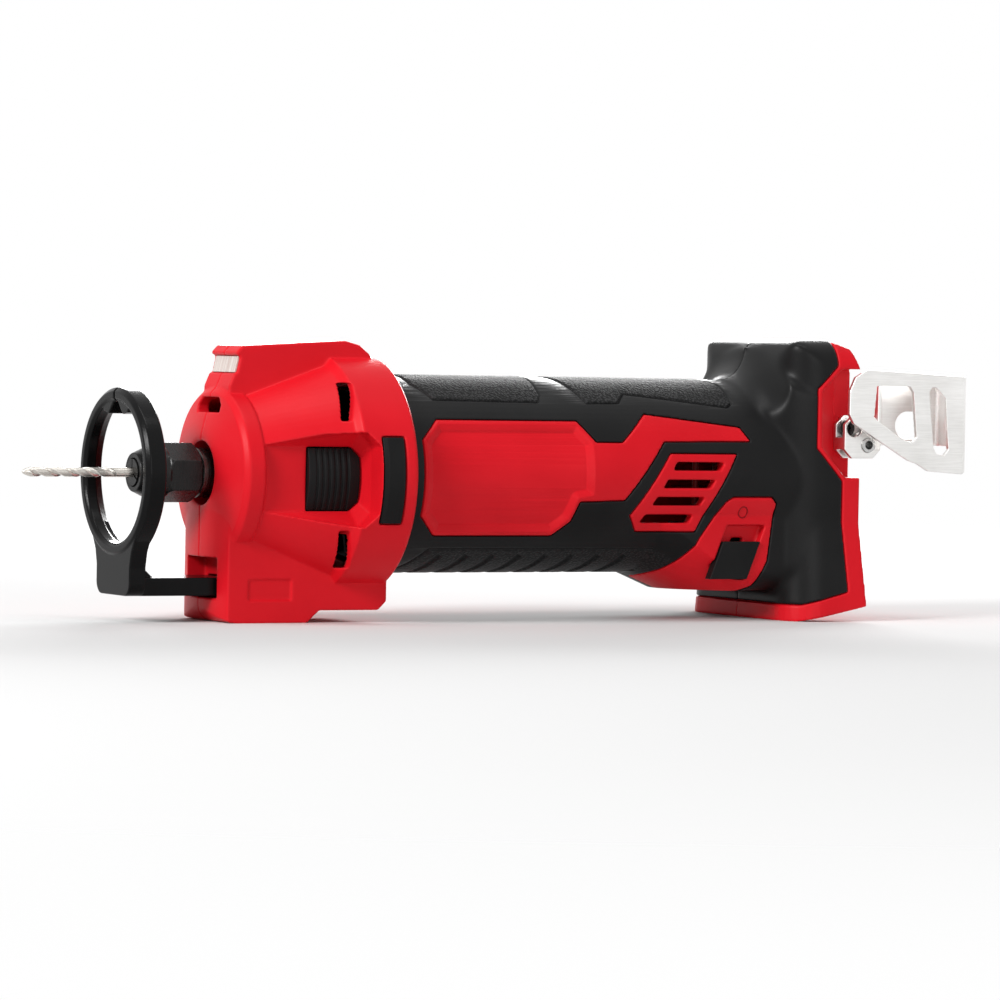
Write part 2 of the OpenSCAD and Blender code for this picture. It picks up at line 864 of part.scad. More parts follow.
module collar_pad(side) {
    y0 = side < 0 ? -far : 0;
    color(black) place() intersection() {
        turned([
            [collar_r - pad_seat + fit, pad_x], [collar_r - 0.4, pad_x], [collar_r + pad_proud, pad_x + 1.4],
            [collar_r + pad_proud, pad_x + pad_w - 0.6], [collar_r - 0.2, pad_x + pad_w],
            [collar_r - pad_seat + fit, pad_x + pad_w]
        ]);
        block(0, nose_len, y0, y0 + far, side_dz - pad_len / 2, side_dz + pad_len / 2);
    }
}

module collar_pad_left() {
    collar_pad(-1);
}

module collar_pad_right() {
    collar_pad(1);
}

// Depth guide

module depth_guide() {
    ro = guide_od / 2;
    ri = ro - guide_rim;
    x0 = -guide_out;
    x1 = x0 + guide_depth;
    lobe = [
        [guide_slit / 2, ro - 0.5], [guide_slit / 2, ri + 1], [5.5, ri - 4.2], [9.2, ri - 3.6], [11.5, ri - 1]
    ];
    stem_half = stem_w / 2;
    corner = 4;
    gusset = 5;
    shoulder = [
        [ro * 0.76, -ro * 0.6], [ro * 0.62, -ro * 0.77], [ro * 0.53, -ro * 0.92], [stem_half, -ro - 3]
    ];
    color(black) place() {
        difference() {
            union() {
                turned([
                    [ri + 0.9, x0], [ro - 1.3, x0], [ro, x0 + 1.3], [ro, x1 - 0.6], [ro - 0.6, x1],
                    [ri + 1.8, x1], [ri, x1 - 3], [ri, x0 + 0.9]
                ]);
                for (s = [-1, 1]) along_x(x0 + 0.6, x1 - 1) polygon([for (p = lobe) [s * p[0], p[1]]]);
            }
            block(x0 - 1, x1 + 1, -guide_slit / 2, guide_slit / 2, 0, far);
        }
        difference() {
            along_x(x0 + 0.6, x0 + 0.6 + stem_t) {
                round_rect(-stem_half, stem_half, arm_z, -ri, corner);
                polygon(concat([for (p = shoulder) p], [for (i = [3:-1:0]) [-shoulder[i][0], shoulder[i][1]]]));
            }
            rod(ri + 0.5, x0 - 1, x1 + 1);
        }
        block(x0 + stem_t - eps, arm_in, -arm_w / 2, arm_w / 2, arm_z, arm_z1);
        along_y(-arm_w / 2 + 2, arm_w / 2 - 2) polygon([
            [x0 + stem_t, arm_z1 - eps], [x0 + stem_t + 0.6 + gusset, arm_z1 - eps],
            [x0 + stem_t, arm_z1 + gusset]
        ]);
    }
}

module clamp_screw() {
    y0 = arm_w / 2 + slot_gap;
    y1 = block_w / 2 + move_gap;
    grips = 12;
    color(black) place() difference() {
        union() {
            cross_pin(clamp_d / 2, clamp_x, clamp_z, y0, y1 + eps);
            cross_pin(knob_d / 2, clamp_x, clamp_z, y1, y1 + knob_w);
        }
        for (i = [0:grips - 1]) translate([clamp_x, 0, clamp_z]) rotate([0, i * 360 / grips, 0])
            cross_pin(1, 0, knob_d / 2 + 0.4, y1 + 1, far);
    }
}

// Handle envelope, drawn in by t

// Plan of the foot, with round front corners and a square rear
module foot_plan(x0, x1, half_w, r) {
    translate([x0 + r, -half_w]) square([x1 - x0 - r, 2 * half_w]);
    translate([x0, -half_w + r]) square([x1 - x0, 2 * half_w - 2 * r]);
    for (y = [-half_w + r, half_w - r]) translate([x0 + r, y]) circle(r);
}

// Front view of the foot over its flare, with round top corners
module foot_front(half_w, z0, z1, r) {
    round_rect(-half_w, half_w, z1 - 3 * r, z1, r);
    translate([-half_w, z0]) square([2 * half_w, z1 - z0 - 2 * r]);
}

module foot_form(t) {
    half_w = foot_half - t;
    top = foot_top - t;
    r = foot_r - t;
    top_r = foot_top_r - t;
    intersection() {
        along_z(flare_z, foot_top) foot_plan(foot_x + t, foot_x1, half_w, r);
        along_x(foot_x - 1, foot_x1) foot_front(half_w, flare_z, top, top_r);
        along_y(-far, far) polygon([
            [foot_x + t, flare_z], [foot_x + t, foot_top - 6], [foot_x + 1.8 + t, top - 1.8],
            [foot_x + 6 + t, top], [foot_x1 - 11, top], [foot_x1 - 3.2, top - 3.2],
            [foot_x1, foot_top - 11], [foot_x1, flare_z]
        ]);
    }
    difference() {
        hull() {
            along_z(flare_z - 0.2, flare_z + 0.2) foot_plan(foot_x + t, foot_x1, half_w, r, $fn = 32);
            along_z(floor_z + t, floor_z + t + 0.2)
                foot_plan(foot_x - front_flare + t, foot_x1 + rear_flare, half_w + foot_flare, r, $fn = 32);
        }
        along_y(-far, far) polygon([
            [foot_x + 3, floor_z + t], [foot_x1 + far, floor_z + t + far * 0.25],
            [foot_x1 + far, floor_z - far], [foot_x + 3, floor_z - far]
        ]);
    }
}

// Hollow curve from the round grip into the front of the foot
module cove_form(t) {
    c = grip_r + cove_r - cove_dip;
    half_w = foot_half - t;
    intersection() {
        rotate([0, 90, 0]) rotate_extrude() difference() {
            translate([0, foot_x - cove_r]) square([c, 2 * cove_r]);
            translate([c, foot_x - cove_r]) circle(cove_r + t);
        }
        along_x(foot_x - far, foot_x1) foot_front(half_w, -grip_r - cove_r, foot_top - t, foot_top_r - t);
        along_z(-far, far) foot_plan(foot_x - cove_r + t, foot_x1, half_w, blend_r - t);
    }
}

// Squared fairing under the rear of the grip, which carries the switch
module boss_form(t) {
    half_w = boss_half - t;
    z0 = boss_z + t;
    x0 = foot_x - 53;
    x1 = foot_x + 4;
    r0 = grip_r - t - 2;
    r1 = r0 + 0.4 * (x1 - x0);
    intersection() {
        along_x(x0 - 1, x1) round_rect(-half_w, half_w, z0, 0, 8);
        turned([[0, x0], [r0, x0], [r1, x1], [0, x1]]);
    }
}

module envelope(t, x0) {
    rod(grip_r - t, x0, foot_x + 4);
    boss_form(t);
    cove_form(t);
    foot_form(t);
}

// Red islands of the shell that show through the overmould, drawn as side views

module octagon(x0, x1, z0, z1, cut) {
    polygon([
        [x0 + cut, z0], [x1 - cut, z0], [x1, z0 + cut], [x1, z1 - cut],
        [x1 - cut, z1], [x0 + cut, z1], [x0, z1 - cut], [x0, z0 + cut]
    ]);
}

module panel_plate() {
    polygon([
        [panel_x + 6.5, panel_z], [panel_x1 - 15, panel_z], [panel_x1 - 9.3, panel_z + 4.8],
        [panel_x1 - 7, panel_z + 11.5], [panel_x1 - 1, panel_z + 12.5], [panel_x1 - 1, panel_z1 - 6.5],
        [panel_x1 - 6.5, panel_z1], [panel_x + 6.5, panel_z1], [panel_x, panel_z1 - 6.5], [panel_x, panel_z + 6.5]
    ]);
}

module panel_outline() {
    panel_plate();
    polygon([
        [panel_x1 - 6, panel_z1 - 7], [band_x - 11, panel_z1 - 7], [band_x, panel_z1 + 2.5],
        [band_x1 - 3, panel_z1 - 1.5], [band_x1, panel_z1 - 6], [band_x + 5, panel_z1 - 6.3],
        [band_x - 10.5, panel_z + 12], [panel_x1 - 7, panel_z + 11.5]
    ]);
}

module grille_outline() {
    polygon([
        [grille_x + 3.7, grille_z], [grille_x + 25, grille_z], [grille_x + 40, grille_z1],
        [grille_x + 14.3, grille_z1], [grille_x, grille_z + 5.3]
    ]);
}

module grille_slots_outline() {
    pitch = 23.6 / grille_slots;
    lean = 0.62;
    len = 18.5;
    h = grille_slot_h;
    for (i = [0:grille_slots - 1]) {
        z1 = grille_z1 - 2.6 - i * pitch;
        x0 = grille_x + 16.8 - i * pitch * lean;
        polygon([[x0, z1], [x0 + len, z1], [x0 + len - lean * h, z1 - h], [x0 - lean * h, z1 - h]]);
    }
}

module bezel_outline() {
    polygon([
        [foot_x - 44.5, -33.6], [foot_x - 41, -31.2], [foot_x - 38, -27.3], [foot_x - 34, -20.5],
        [foot_x - 24.5, -8], [foot_x - 22, -6.5], [foot_x - 7, -6.5], [foot_x - 5, -8.5],
        [foot_x - 7.5, -28], [foot_x - 12, -36.5], [foot_x - 18, boss_z - 1], [foot_x - 44.5, boss_z - 1]
    ]);
}

module rim_outline() {
    polygon([
        [foot_x1 - 10.5, far], [foot_x1 - 9, 38.5], [foot_x1 - 16.7, 30.5], [foot_x1 - 16.7, 10.5],
        [foot_x1 - 6.7, -0.5], [foot_x1 - 6.7, flare_z], [foot_x1 - 5, floor_z + 10],
        [foot_x + 4, floor_z + 5.5], [foot_x - 10, floor_z + 5.5], [foot_x - 10, -far],
        [foot_x1 + 10, -far], [foot_x1 + 10, far]
    ]);
}

module islands(side, grow) {
    y0 = side < 0 ? -far : 0;
    along_y(y0, y0 + far) offset(delta = grow) {
        panel_outline();
        grille_outline();
        if (side < 0) bezel_outline();
    }
    along_y(y0, y0 + far) offset(delta = grow) rim_outline();
}

// Hollow of the handle, up to the wall of the battery bay
module hollow() {
    difference() {
        union() {
            rod(bore_r, core_x - 1, foot_x + 6);
            boss_form(inner_t);
            foot_form(inner_t);
            cove_form(inner_t);
        }
        block(bay_wall_x, foot_x1 + far, -far, far, -far, far);
    }
}

// Battery bay, open to the rear and below, with a rail along each side
module battery_bay() {
    half_w = bay_w / 2;
    difference() {
        block(bay_x, foot_x1 + far, -half_w, half_w, -far, bay_z1);
        for (y0 = [-half_w - 1, half_w - rail_out])
            block(rail_x, rail_x + rail_t, y0, y0 + rail_out + 1, floor_z + 12, bay_z1 - 6);
    }
}

// Scoop in the left rear corner that the hook's bracket sits in
module scoop() {
    intersection() {
        along_z(-far, far) polygon([
            [foot_x1 - 16.2, -foot_half - 0.5], [foot_x1 - 6.5, -scoop_y], [foot_x1 + far, -scoop_y],
            [foot_x1 + far, -far], [foot_x1 - 16.2, -far]
        ]);
        along_y(-far, 0) polygon([
            [foot_x1 - 15.7, 11.5], [foot_x1 - 15.7, 29.5], [foot_x1 - 7.5, 37.5], [foot_x1 + far, 37.5],
            [foot_x1 + far, 0.5], [foot_x1 - 5.7, 0.5]
        ]);
    }
}

// A leaning outline with level ends that runs from s0 to s1 along the switch's slant
module switch_prism(w, s0, s1, y0, y1) {
    dx = sin(switch_lean);
    dz = cos(switch_lean);
    translate([switch_mid[0], 0, switch_mid[1]]) along_y(y0, y1) polygon([
        [s0 * dx - w / 2, s0 * dz], [s0 * dx + w / 2, s0 * dz],
        [s1 * dx + w / 2, s1 * dz], [s1 * dx - w / 2, s1 * dz]
    ]);
}

module switch_cuts() {
    run = switch_run / 2;
    slot_half = stub_half + move_gap;
    slot_z0 = slider_mid - slot_half;
    slot_z1 = slider_mid + switch_travel + slot_half;
    switch_prism(switch_w, -run, run, -far, -switch_floor);
    switch_prism(2 * slot_half, slot_z0, slot_z1, -switch_floor - 1, -20);
}

// Ribs, webs and bosses inside one half of the handle
module inner_ribs(side) {
    rib_from = can_r - 1;
    for (a = [45, 135]) rotate([side * a, 0, 0]) block(can_x + 1, can_x1 - 1, -1.5, 1.5, rib_from, far);
    difference() {
        rod(grip_r, web_x, web_x1);
        for (a = [45:90:315]) rotate([a, 0, 0]) translate([0, 0, 22]) rod(4, web_x - 1, web_x1 + 1);
        for (s = [-1, 1]) translate([0, s * lead_y, lead_z]) rod(lead_r + fit / 2, web_x - 1, web_x1 + 1);
    }
    for (s = handle_screw_at) cross_pin(3.5, s[0], s[1], -far, far);
    ledge_y = board_half - 3;
    for (x = [board_x + 2, board_x1 - 6], y0 = [-far, ledge_y])
        block(x, x + 4, y0, y0 + far - ledge_y, board_z - 2.5, board_z);
    if (side < 0) {
        block(switch_mid[0] - 16, switch_mid[0] + 14, -far, -switch_floor + 2.6, boss_z, -12);
        for (x = [module_x + 2, module_x1 - 6]) block(x, x + 4, -far, -module_y1, -far, module_z);
    }
}

module shell_half(side) {
    difference() {
        union() {
            difference() {
                union() {
                    envelope(grip_t, core_x);
                    intersection() {
                        envelope(0, grip_x);
                        islands(side, 0);
                    }
                    rod(core_r + 4.1, core_x, flange_x1);
                }
                hollow();
            }
            intersection() {
                envelope(grip_t + 0.4, core_x);
                inner_ribs(side);
            }
        }
        half(-side);
        rod(can_r + fit / 2, can_x - 0.5, can_x1 + 0.5);
        rod(rear_bearing_od / 2 + fit / 2, rear_bearing_x, rear_bearing_x1);
        rod(shaft_r + 3, web_x - 1, web_x1 + 1);
        battery_bay();
        block(bay_wall_x - 1, bay_x + 1, -block_half - fit, block_half + fit, block_z - fit, block_z1 + fit);
        screw_cuts(handle_screw_at);
        intersection() {
            tube(far, grip_r - panel_depth, panel_x, panel_x1);
            along_y(-far, far) offset(delta = -3) panel_plate();
        }
        for (y0 = [-far, grille_y]) along_y(y0, y0 + far - grille_y) grille_slots_outline();
        if (side < 0) {
            scoop();
            switch_cuts();
            block(module_x - fit, module_x1 + fit, -module_y0 - fit, -module_y1, module_z, module_z1);
            for (s = hook_screw_at) cross_pin(screw_d / 2 + fit / 2, s[0], s[1], -scoop_y - 1, -bay_w / 2 - 0.3);
        }
    }
}

module shell_left() {
    color(red) place() shell_half(-1);
}

module shell_right() {
    color(red) place() shell_half(1);
}

module handle_screws() {
    color(dark_steel) place() screws(handle_screw_at);
}

// Diagonal grooves under the front of the grip
module rib_grooves() {
    count = 8;
    pitch = 10;
    w = 2.2;
    depth = 0.8;
    x0 = nose_len + 14;
    intersection() {
        tube(far, grip_r - depth, grip_x, foot_x);
        for (i = [0:count - 1]) translate([x0 + i * pitch, 0, -grip_r]) rotate([0, 30, 0])
            block(-w / 2, w / 2, -far, far, -10, 8);
    }
}

module grip_half(side) {
    difference() {
        envelope(0, grip_x);
        envelope(grip_t - fit / 2, grip_x - 1);
        half(-side);
        islands(side, seam);
        rib_grooves();
        screw_cuts(handle_screw_at);
    }
}

module grip_left() {
    color(black) place() grip_half(-1);
}

module grip_right() {
    color(black) place() grip_half(1);
}

// Motor

module motor_can() {
    color("#8a8d8f") place() tube(can_r, can_r - can_wall, can_x, can_x1);
}

module magnets() {
    arc = 70;
    over = 2;
    len = stack_x1 - stack_x + 2 * over;
    color(dark_steel) place() for (a = [0:90:270])
        rotate([a, 0, 0]) rotate([0, 90, 0]) translate([0, 0, stack_x - over]) rotate(-arc / 2)
            rotate_extrude(angle = arc) translate([magnet_r1 - magnet_t, 0]) square([magnet_t, len]);
}

module brush_ring() {
    half_l = brush_l / 2 + fit / 2;
    half_w = brush_w / 2 + fit / 2;
    color(black) place() difference() {
        tube(bore_r - fit, commutator_d / 2 + 3, brush_x, brush_x1);
        block(brush_mid - half_l, brush_mid + half_l, -half_w, half_w, -brush_out, brush_out);
        for (a = [45:90:315]) rotate([a, 0, 0]) translate([0, 0, 21]) rod(3.5, brush_x - 1, brush_x1 + 1);
    }
}

module brushes() {
    x0 = brush_mid - brush_l / 2;
    color("#404040") place() for (z0 = [brush_in, -brush_out])
        block(x0, x0 + brush_l, -brush_w / 2, brush_w / 2, z0, z0 + brush_out - brush_in);
}

module rear_bearing() {
    color(steel) place() bearing(rear_bearing_x, rear_bearing_w, shaft_d, rear_bearing_od);
}

// Switch and electronics

module switch_slider() {
    top_y = switch_face + 0.8;
    low_y = switch_floor + 0.1;
    stub_y = module_y0 + move_gap;
    color(black) place() {
        switch_prism(switch_w - 2 * move_gap, slider_from, slider_from + slider_len, -top_y, -low_y);
        switch_prism(2 * stub_half, slider_mid - stub_half, slider_mid + stub_half, -low_y - eps, -stub_y);
    }
}

module switch_module() {
    color(black) place() block(module_x, module_x1, -module_y0, -module_y1, module_z, module_z1);
}

module control_board() {
    color("darkgreen") place() {
        block(board_x, board_x1, -board_half, board_half, board_z, board_z + board_t);
        for (x = [board_x, board_x1 - plug_len])
            block(x, x + plug_len, -lead_y - 3, lead_y + 3, board_z + board_t - eps, board_z + board_t + plug_h);
    }
}

module blade_row(grow, x0, x1) {
    for (i = [0:blades - 1]) {
        y = (i - (blades - 1) / 2) * blade_pitch;
        block(x0, x1, y - blade_t / 2 - grow, y + blade_t / 2 + grow, block_z + 2 - grow, block_z1 - 3 + grow);
    }
}

module terminal_block() {
    color(black) place() difference() {
        block(block_x, block_x1, -block_half, block_half, block_z, block_z1);
        blade_row(fit / 2, block_x + 2, foot_x1);
    }
}

module contact_blades() {
    color(steel) place() blade_row(0, block_x + 2 + eps, foot_x1 - 2);
}

module leads() {
    color("firebrick") place() {
        for (s = [-1, 1]) {
            translate([0, s * lead_y, lead_z]) rod(lead_r, board_x1, block_x);
            translate([0, s * lead_y, lead_z]) rod(lead_r, brush_x1, board_x);
        }
        for (x = [module_x + 6, module_x + 14]) translate([x, -(module_y0 + module_y1) / 2, module_z1])
            cylinder(r = lead_r, h = board_z - module_z1);
    }
}

// Folding hook

module hook_outline() {
    polygon([
        [hook_x, hook_z + 20], [hook_x, hook_z1 - 8], [hook_x + 2.2, hook_z1 - 3.2], [hook_x + 7, hook_z1 - 0.5],
        [hook_x1, hook_z1 - 2.5], [hook_x1, hook_z + 1], [hook_x1 - 2.5, hook_z], [hook_x1 - 16, hook_z + 1],
        [hook_x1 - 20.5, hook_z + 3.5], [hook_x1 - 24, hook_z + 4.5], [hook_x + 1.8, hook_z + 17]
    ]);
}

module hook_windows() {
    w1 = hook_x1 - 37.2;
    polygon([
        [w1, hook_z1 - 6], [w1 + 13.2, hook_z1 - 6], [w1 + 14.6, hook_z1 - 8], [w1 + 16.2, hook_z + 12.6],
        [w1 + 15, hook_z + 11], [w1 + 11, hook_z + 11.6], [w1 - 1, hook_z + 19]
    ]);
    w2 = hook_x1 - 16.2;
    polygon([
        [w2, hook_z1 - 8], [w2 + 1.2, hook_z1 - 6.4], [w2 + 3, hook_z1 - 6.4], [w2 + 6.6, hook_z1 - 10],
        [w2 + 8.1, hook_z + 8.4], [w2 + 6.4, hook_z + 6.4], [w2 + 3.4, hook_z + 7], [w2 + 2.2, hook_z + 9]
    ]);
}

// Outer plate, rear bend and inner plate of the hook, seen from above
module hook_strip() {
    r = 3;
    difference() {
        round_rect(hook_x1 - far, hook_x1, -hook_y - sheet_t, -inner_y, r);
        round_rect(hook_x1 - far - 1, hook_x1 - sheet_t, -hook_y, -inner_y - sheet_t, r - sheet_t);
    }
}

module hook() {
    leaf_z0 = pivot_z - 0.3;
    leaf_z1 = hook_z1 - 4;
    knuckle_r = hook_pin_r + 2;
    hole_x = hook_x1 - 12;
    rear_cut = hook_x1 - 6;
    color(steel) place() {
        difference() {
            intersection() {
                along_z(hook_z - 1, hook_z1 + 1) difference() {
                    hook_strip();
                    translate([-far, -inner_y - sheet_t - 1]) square([far + step_x, far]);
                }
                union() {
                    along_y(-far, -hook_y) hook_outline();
                    block(rear_cut, hook_x1 + 1, -far, 0, leaf_z0, leaf_z1);
                    block(step_x, hook_x1 + 1, -hook_y + eps, 0, leaf_z0, leaf_z1);
                }
            }
            along_y(-far, -hook_y + eps) hook_windows();
            along_y(-hook_y + eps, 0) {
                for (dx = [-2, 2]) translate([hole_x + dx, leaf_z0 + 7]) circle(4.7);
                translate([hole_x - 2, leaf_z0 + 2.3]) square([4, 9.4]);
            }
        }
        // inner leaf steps out to the knuckle on the pin
        block(step_x, step_x + sheet_t, -tongue_y - sheet_t, -inner_y, leaf_z0, leaf_z1);
        difference() {
            union() {
                block(pivot_x, step_x + eps, -tongue_y - sheet_t, -tongue_y, leaf_z0, pivot_z + 6);
                cross_pin(knuckle_r, pivot_x, pivot_z, -tongue_y - sheet_t, -tongue_y);
            }
            cross_pin(hook_pin_r + run_fit, pivot_x, pivot_z, -far, 0);
        }
    }
}

module ear_outline() {
    octagon(bracket_x, bracket_x1, pivot_z - 4.6, pivot_z + 10, 3);
}

module hook_bracket() {
    out_y = ear_in + 2 * sheet_t + ear_gap;
    color(steel) place() {
        difference() {
            union() {
                along_y(-ear_in - sheet_t, -ear_in) ear_outline();
                along_y(-out_y, -out_y + sheet_t) ear_outline();
                block(bracket_x, bracket_x + sheet_t, -out_y, -ear_in, pivot_z - 1.6, pivot_z + 2.5);
            }
            cross_pin(hook_pin_r, pivot_x, pivot_z, -far, 0);
            for (s = hook_screw_at) {
                cross_pin(screw_d / 2 + fit / 2, s[0], s[1], -ear_in - sheet_t - 1, 0);
                cross_pin(head_d / 2 + 0.2, s[0], s[1], -far, -ear_in - sheet_t - 2);
            }
        }
    }
}

module hook_pin() {
    over = 0.6;
    color(steel) place() difference() {
        cross_pin(hook_pin_r, pivot_x, pivot_z, -ear_in - 2 * sheet_t - ear_gap - over, -ear_in - 0.2);
        cross_pin(hook_pin_r - 1, pivot_x, pivot_z, -far, -ear_in - 1);
    }
}

module hook_screws() {
    color(dark_steel) place() for (s = hook_screw_at) {
        y = -ear_in - sheet_t;
        cross_pin(screw_d / 2, s[0], s[1], y - eps, -bay_w / 2 - 0.5);
        cross_pin(head_d / 2, s[0], s[1], y - 1.6, y);
    }
}

bit();
collet();
collet_nut();
spindle();
fan();
armature();
windings();
commutator();
nose_left();
nose_right();
lamp_lens();
lamp_board();
front_bearing();
lock_button();
lock_pin();
lock_spring();
collar_pad_left();
collar_pad_right();
depth_guide();
clamp_screw();
nose_screws();
shell_left();
shell_right();
grip_left();
grip_right();
handle_screws();
motor_can();
magnets();
brush_ring();
brushes();
rear_bearing();
switch_slider();
switch_module();
control_board();
terminal_block();
contact_blades();
leads();
hook();
hook_bracket();
hook_pin();
hook_screws();
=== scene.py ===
import bpy
import bmesh
import math
import numpy as np
from mathutils import Matrix, Vector


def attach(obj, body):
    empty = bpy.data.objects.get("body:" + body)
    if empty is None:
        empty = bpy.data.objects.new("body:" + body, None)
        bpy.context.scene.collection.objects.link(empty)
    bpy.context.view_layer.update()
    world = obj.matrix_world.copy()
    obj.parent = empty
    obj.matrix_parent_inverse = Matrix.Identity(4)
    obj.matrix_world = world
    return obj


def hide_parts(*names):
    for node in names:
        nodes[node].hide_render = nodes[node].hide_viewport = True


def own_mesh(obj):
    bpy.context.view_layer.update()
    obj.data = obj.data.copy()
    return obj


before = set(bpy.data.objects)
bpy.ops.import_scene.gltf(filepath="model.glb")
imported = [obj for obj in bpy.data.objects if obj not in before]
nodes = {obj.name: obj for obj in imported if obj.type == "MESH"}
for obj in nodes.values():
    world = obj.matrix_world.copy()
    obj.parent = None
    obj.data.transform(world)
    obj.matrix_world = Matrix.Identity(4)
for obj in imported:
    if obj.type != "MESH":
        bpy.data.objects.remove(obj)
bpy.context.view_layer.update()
scene = bpy.context.scene
mm = 0.001
rim = np.array([-100.75, 0.0, 48.5])     # nose face rim on the spindle axis, in mm
print("frame loaded,", len(nodes), "parts")


# shared helpers
def atRim(x, y, z):
    return tuple((np.array((x, y, z)) + rim) * mm)


def placed(name, data):
    holder = bpy.data.objects.new(name, data)
    scene.collection.objects.link(holder)
    return holder


def reshape(mesh, change):
    shape = bmesh.new()
    shape.from_mesh(mesh)
    change(shape)
    shape.to_mesh(mesh)
    shape.free()


def link(tree, source, target):
    tree.links.new(source, target)


def setInputs(node, values):
    for title, value in values.items():
        node.inputs[title.replace("_", " ")].default_value = value
    return node


def mathNode(tree, operation, first, second=None, third=None, clamp=False):
    node = tree.nodes.new("ShaderNodeMath")
    node.operation, node.use_clamp = operation, clamp
    for socket, value in zip(node.inputs, (first, second, third)):
        if value is None:
            continue
        if isinstance(value, (int, float)):
            socket.default_value = value
        else:
            link(tree, value, socket)
    return node.outputs[0]


def spread(tree, value, low, high, start=0.0, end=1.0, kind="LINEAR"):
    node = tree.nodes.new("ShaderNodeMapRange")
    node.interpolation_type = kind
    setInputs(node, {"From Min": start, "From Max": end, "To Min": low, "To Max": high})
    link(tree, value, node.inputs["Value"])
    return node.outputs["Result"]


def mixShaders(tree, share, first, second, out):
    mix = tree.nodes.new("ShaderNodeMixShader")
    for socket, source in zip(mix.inputs, (share, first.outputs[0], second.outputs[0])):
        link(tree, source, socket)
    link(tree, mix.outputs[0], tree.nodes.new(out).inputs["Surface"])


# camera and stage
cameraSetup = {
    "azimuth": -28, "elevation": 1.7, "distance": 1.8, "target": (0.00692, 0, 0.03986),
    "lens": 192.46, "sensor": 36, "roll": 1.09, "clip": (0.05, 20),
}
stageSetup = {"floorRadius": 1.1, "floorTone": 0.69, "fade": (0.35, 1.078), "ambient": 0.28}
lampTarget = Vector((0, 0, 0.04))
lampSetup = {
    "key": {"at": (-1.25, -0.45, 0.75), "size": (0.45, 0.4), "power": 16.2},
    "fill": {"at": (-0.2, -1.5, 0.35), "size": (0.9, 0.7), "power": 3.7},
    "top": {"at": (-0.1, -0.15, 1.1), "size": (0.9, 0.3), "power": 4.0},
    "back": {"at": (0.85, 1.0, 0.5), "size": (1.1, 0.35), "power": 28.0},
}


def aimed(back, spot, roll=0.0):
    back = back.normalized()
    side = Vector((0, 0, 1)).cross(back).normalized()
    up = back.cross(side)
    right = side * math.cos(roll) + up * math.sin(roll)
    up = up * math.cos(roll) - side * math.sin(roll)
    return Matrix((
        (right.x, up.x, back.x, spot.x), (right.y, up.y, back.y, spot.y),
        (right.z, up.z, back.z, spot.z), (0, 0, 0, 1)))


def makeCamera(setup):
    turn, rise = math.radians(setup["azimuth"]), math.radians(setup["elevation"])
    back = Vector((math.sin(turn) * math.cos(rise), -math.cos(turn) * math.cos(rise), math.sin(rise)))
    data = bpy.data.cameras.new("photoCamera")
    data.sensor_width, data.lens = setup["sensor"], setup["lens"]
    data.clip_start, data.clip_end = setup["clip"]
    eye = placed("photoCamera", data)
    spot = Vector(setup["target"]) + back * setup["distance"]
    eye.matrix_world = aimed(back, spot, math.radians(setup["roll"]))
    scene.camera = eye


def makeLamps(setup):
    for name, lamp in setup.items():
        data = bpy.data.lights.new(name + "Lamp", "AREA")
        data.shape = "RECTANGLE"
        data.size, data.size_y = lamp["size"]
        data.energy = lamp["power"]
        spot = Vector(lamp["at"])
        placed(name + "Lamp", data).matrix_world = aimed(spot - lampTarget, spot)


def makeWorld(setup):     # white where it is seen, dimmer where it only lights
    world = bpy.data.worlds.new("studio")
    scene.world = world
    world.use_nodes = True
    tree = world.node_tree
    tree.nodes.clear()
    rays = tree.nodes.new("ShaderNodeLightPath").outputs
    seen = mathNode(tree, "MAXIMUM", rays["Is Camera Ray"], rays["Is Glossy Ray"])
    seen = mathNode(tree, "MAXIMUM", seen, rays["Is Transmission Ray"])
    dim, white = tree.nodes.new("ShaderNodeBackground"), tree.nodes.new("ShaderNodeBackground")
    for node, strength in ((dim, setup["ambient"]), (white, 1)):
        setInputs(node, {"Color": (1, 1, 1, 1), "Strength": strength})
    mixShaders(tree, seen, dim, white, "ShaderNodeOutputWorld")


def makeFloor(setup):     # fades out into the white surroundings
    mesh = bpy.data.meshes.new("studioFloor")
    reshape(mesh, lambda shape: bmesh.ops.create_circle(
        shape, cap_ends=True, segments=96, radius=setup["floorRadius"]))
    floor = placed("studioFloor", mesh)
    paint = bpy.data.materials.new("paleFloor")
    paint.use_nodes = True
    tree = paint.node_tree
    tree.nodes.clear()
    place = tree.nodes.new("ShaderNodeTexCoord")
    length = tree.nodes.new("ShaderNodeVectorMath")
    length.operation = "LENGTH"
    link(tree, place.outputs["Object"], length.inputs[0])
    fade = spread(tree, length.outputs["Value"], 1, 0, *setup["fade"], kind="SMOOTHSTEP")
    diffuse, clear = tree.nodes.new("ShaderNodeBsdfDiffuse"), tree.nodes.new("ShaderNodeBsdfTransparent")
    tone = setup["floorTone"]
    diffuse.inputs["Color"].default_value = (tone, tone, tone, 1)
    mixShaders(tree, fade, clear, diffuse, "ShaderNodeOutputMaterial")
    mesh.materials.append(paint)


makeCamera(cameraSetup)
makeLamps(lampSetup)
makeWorld(stageSetup)
makeFloor(stageSetup)
scene.view_settings.view_transform = "Standard"
print("camera and stage ready")


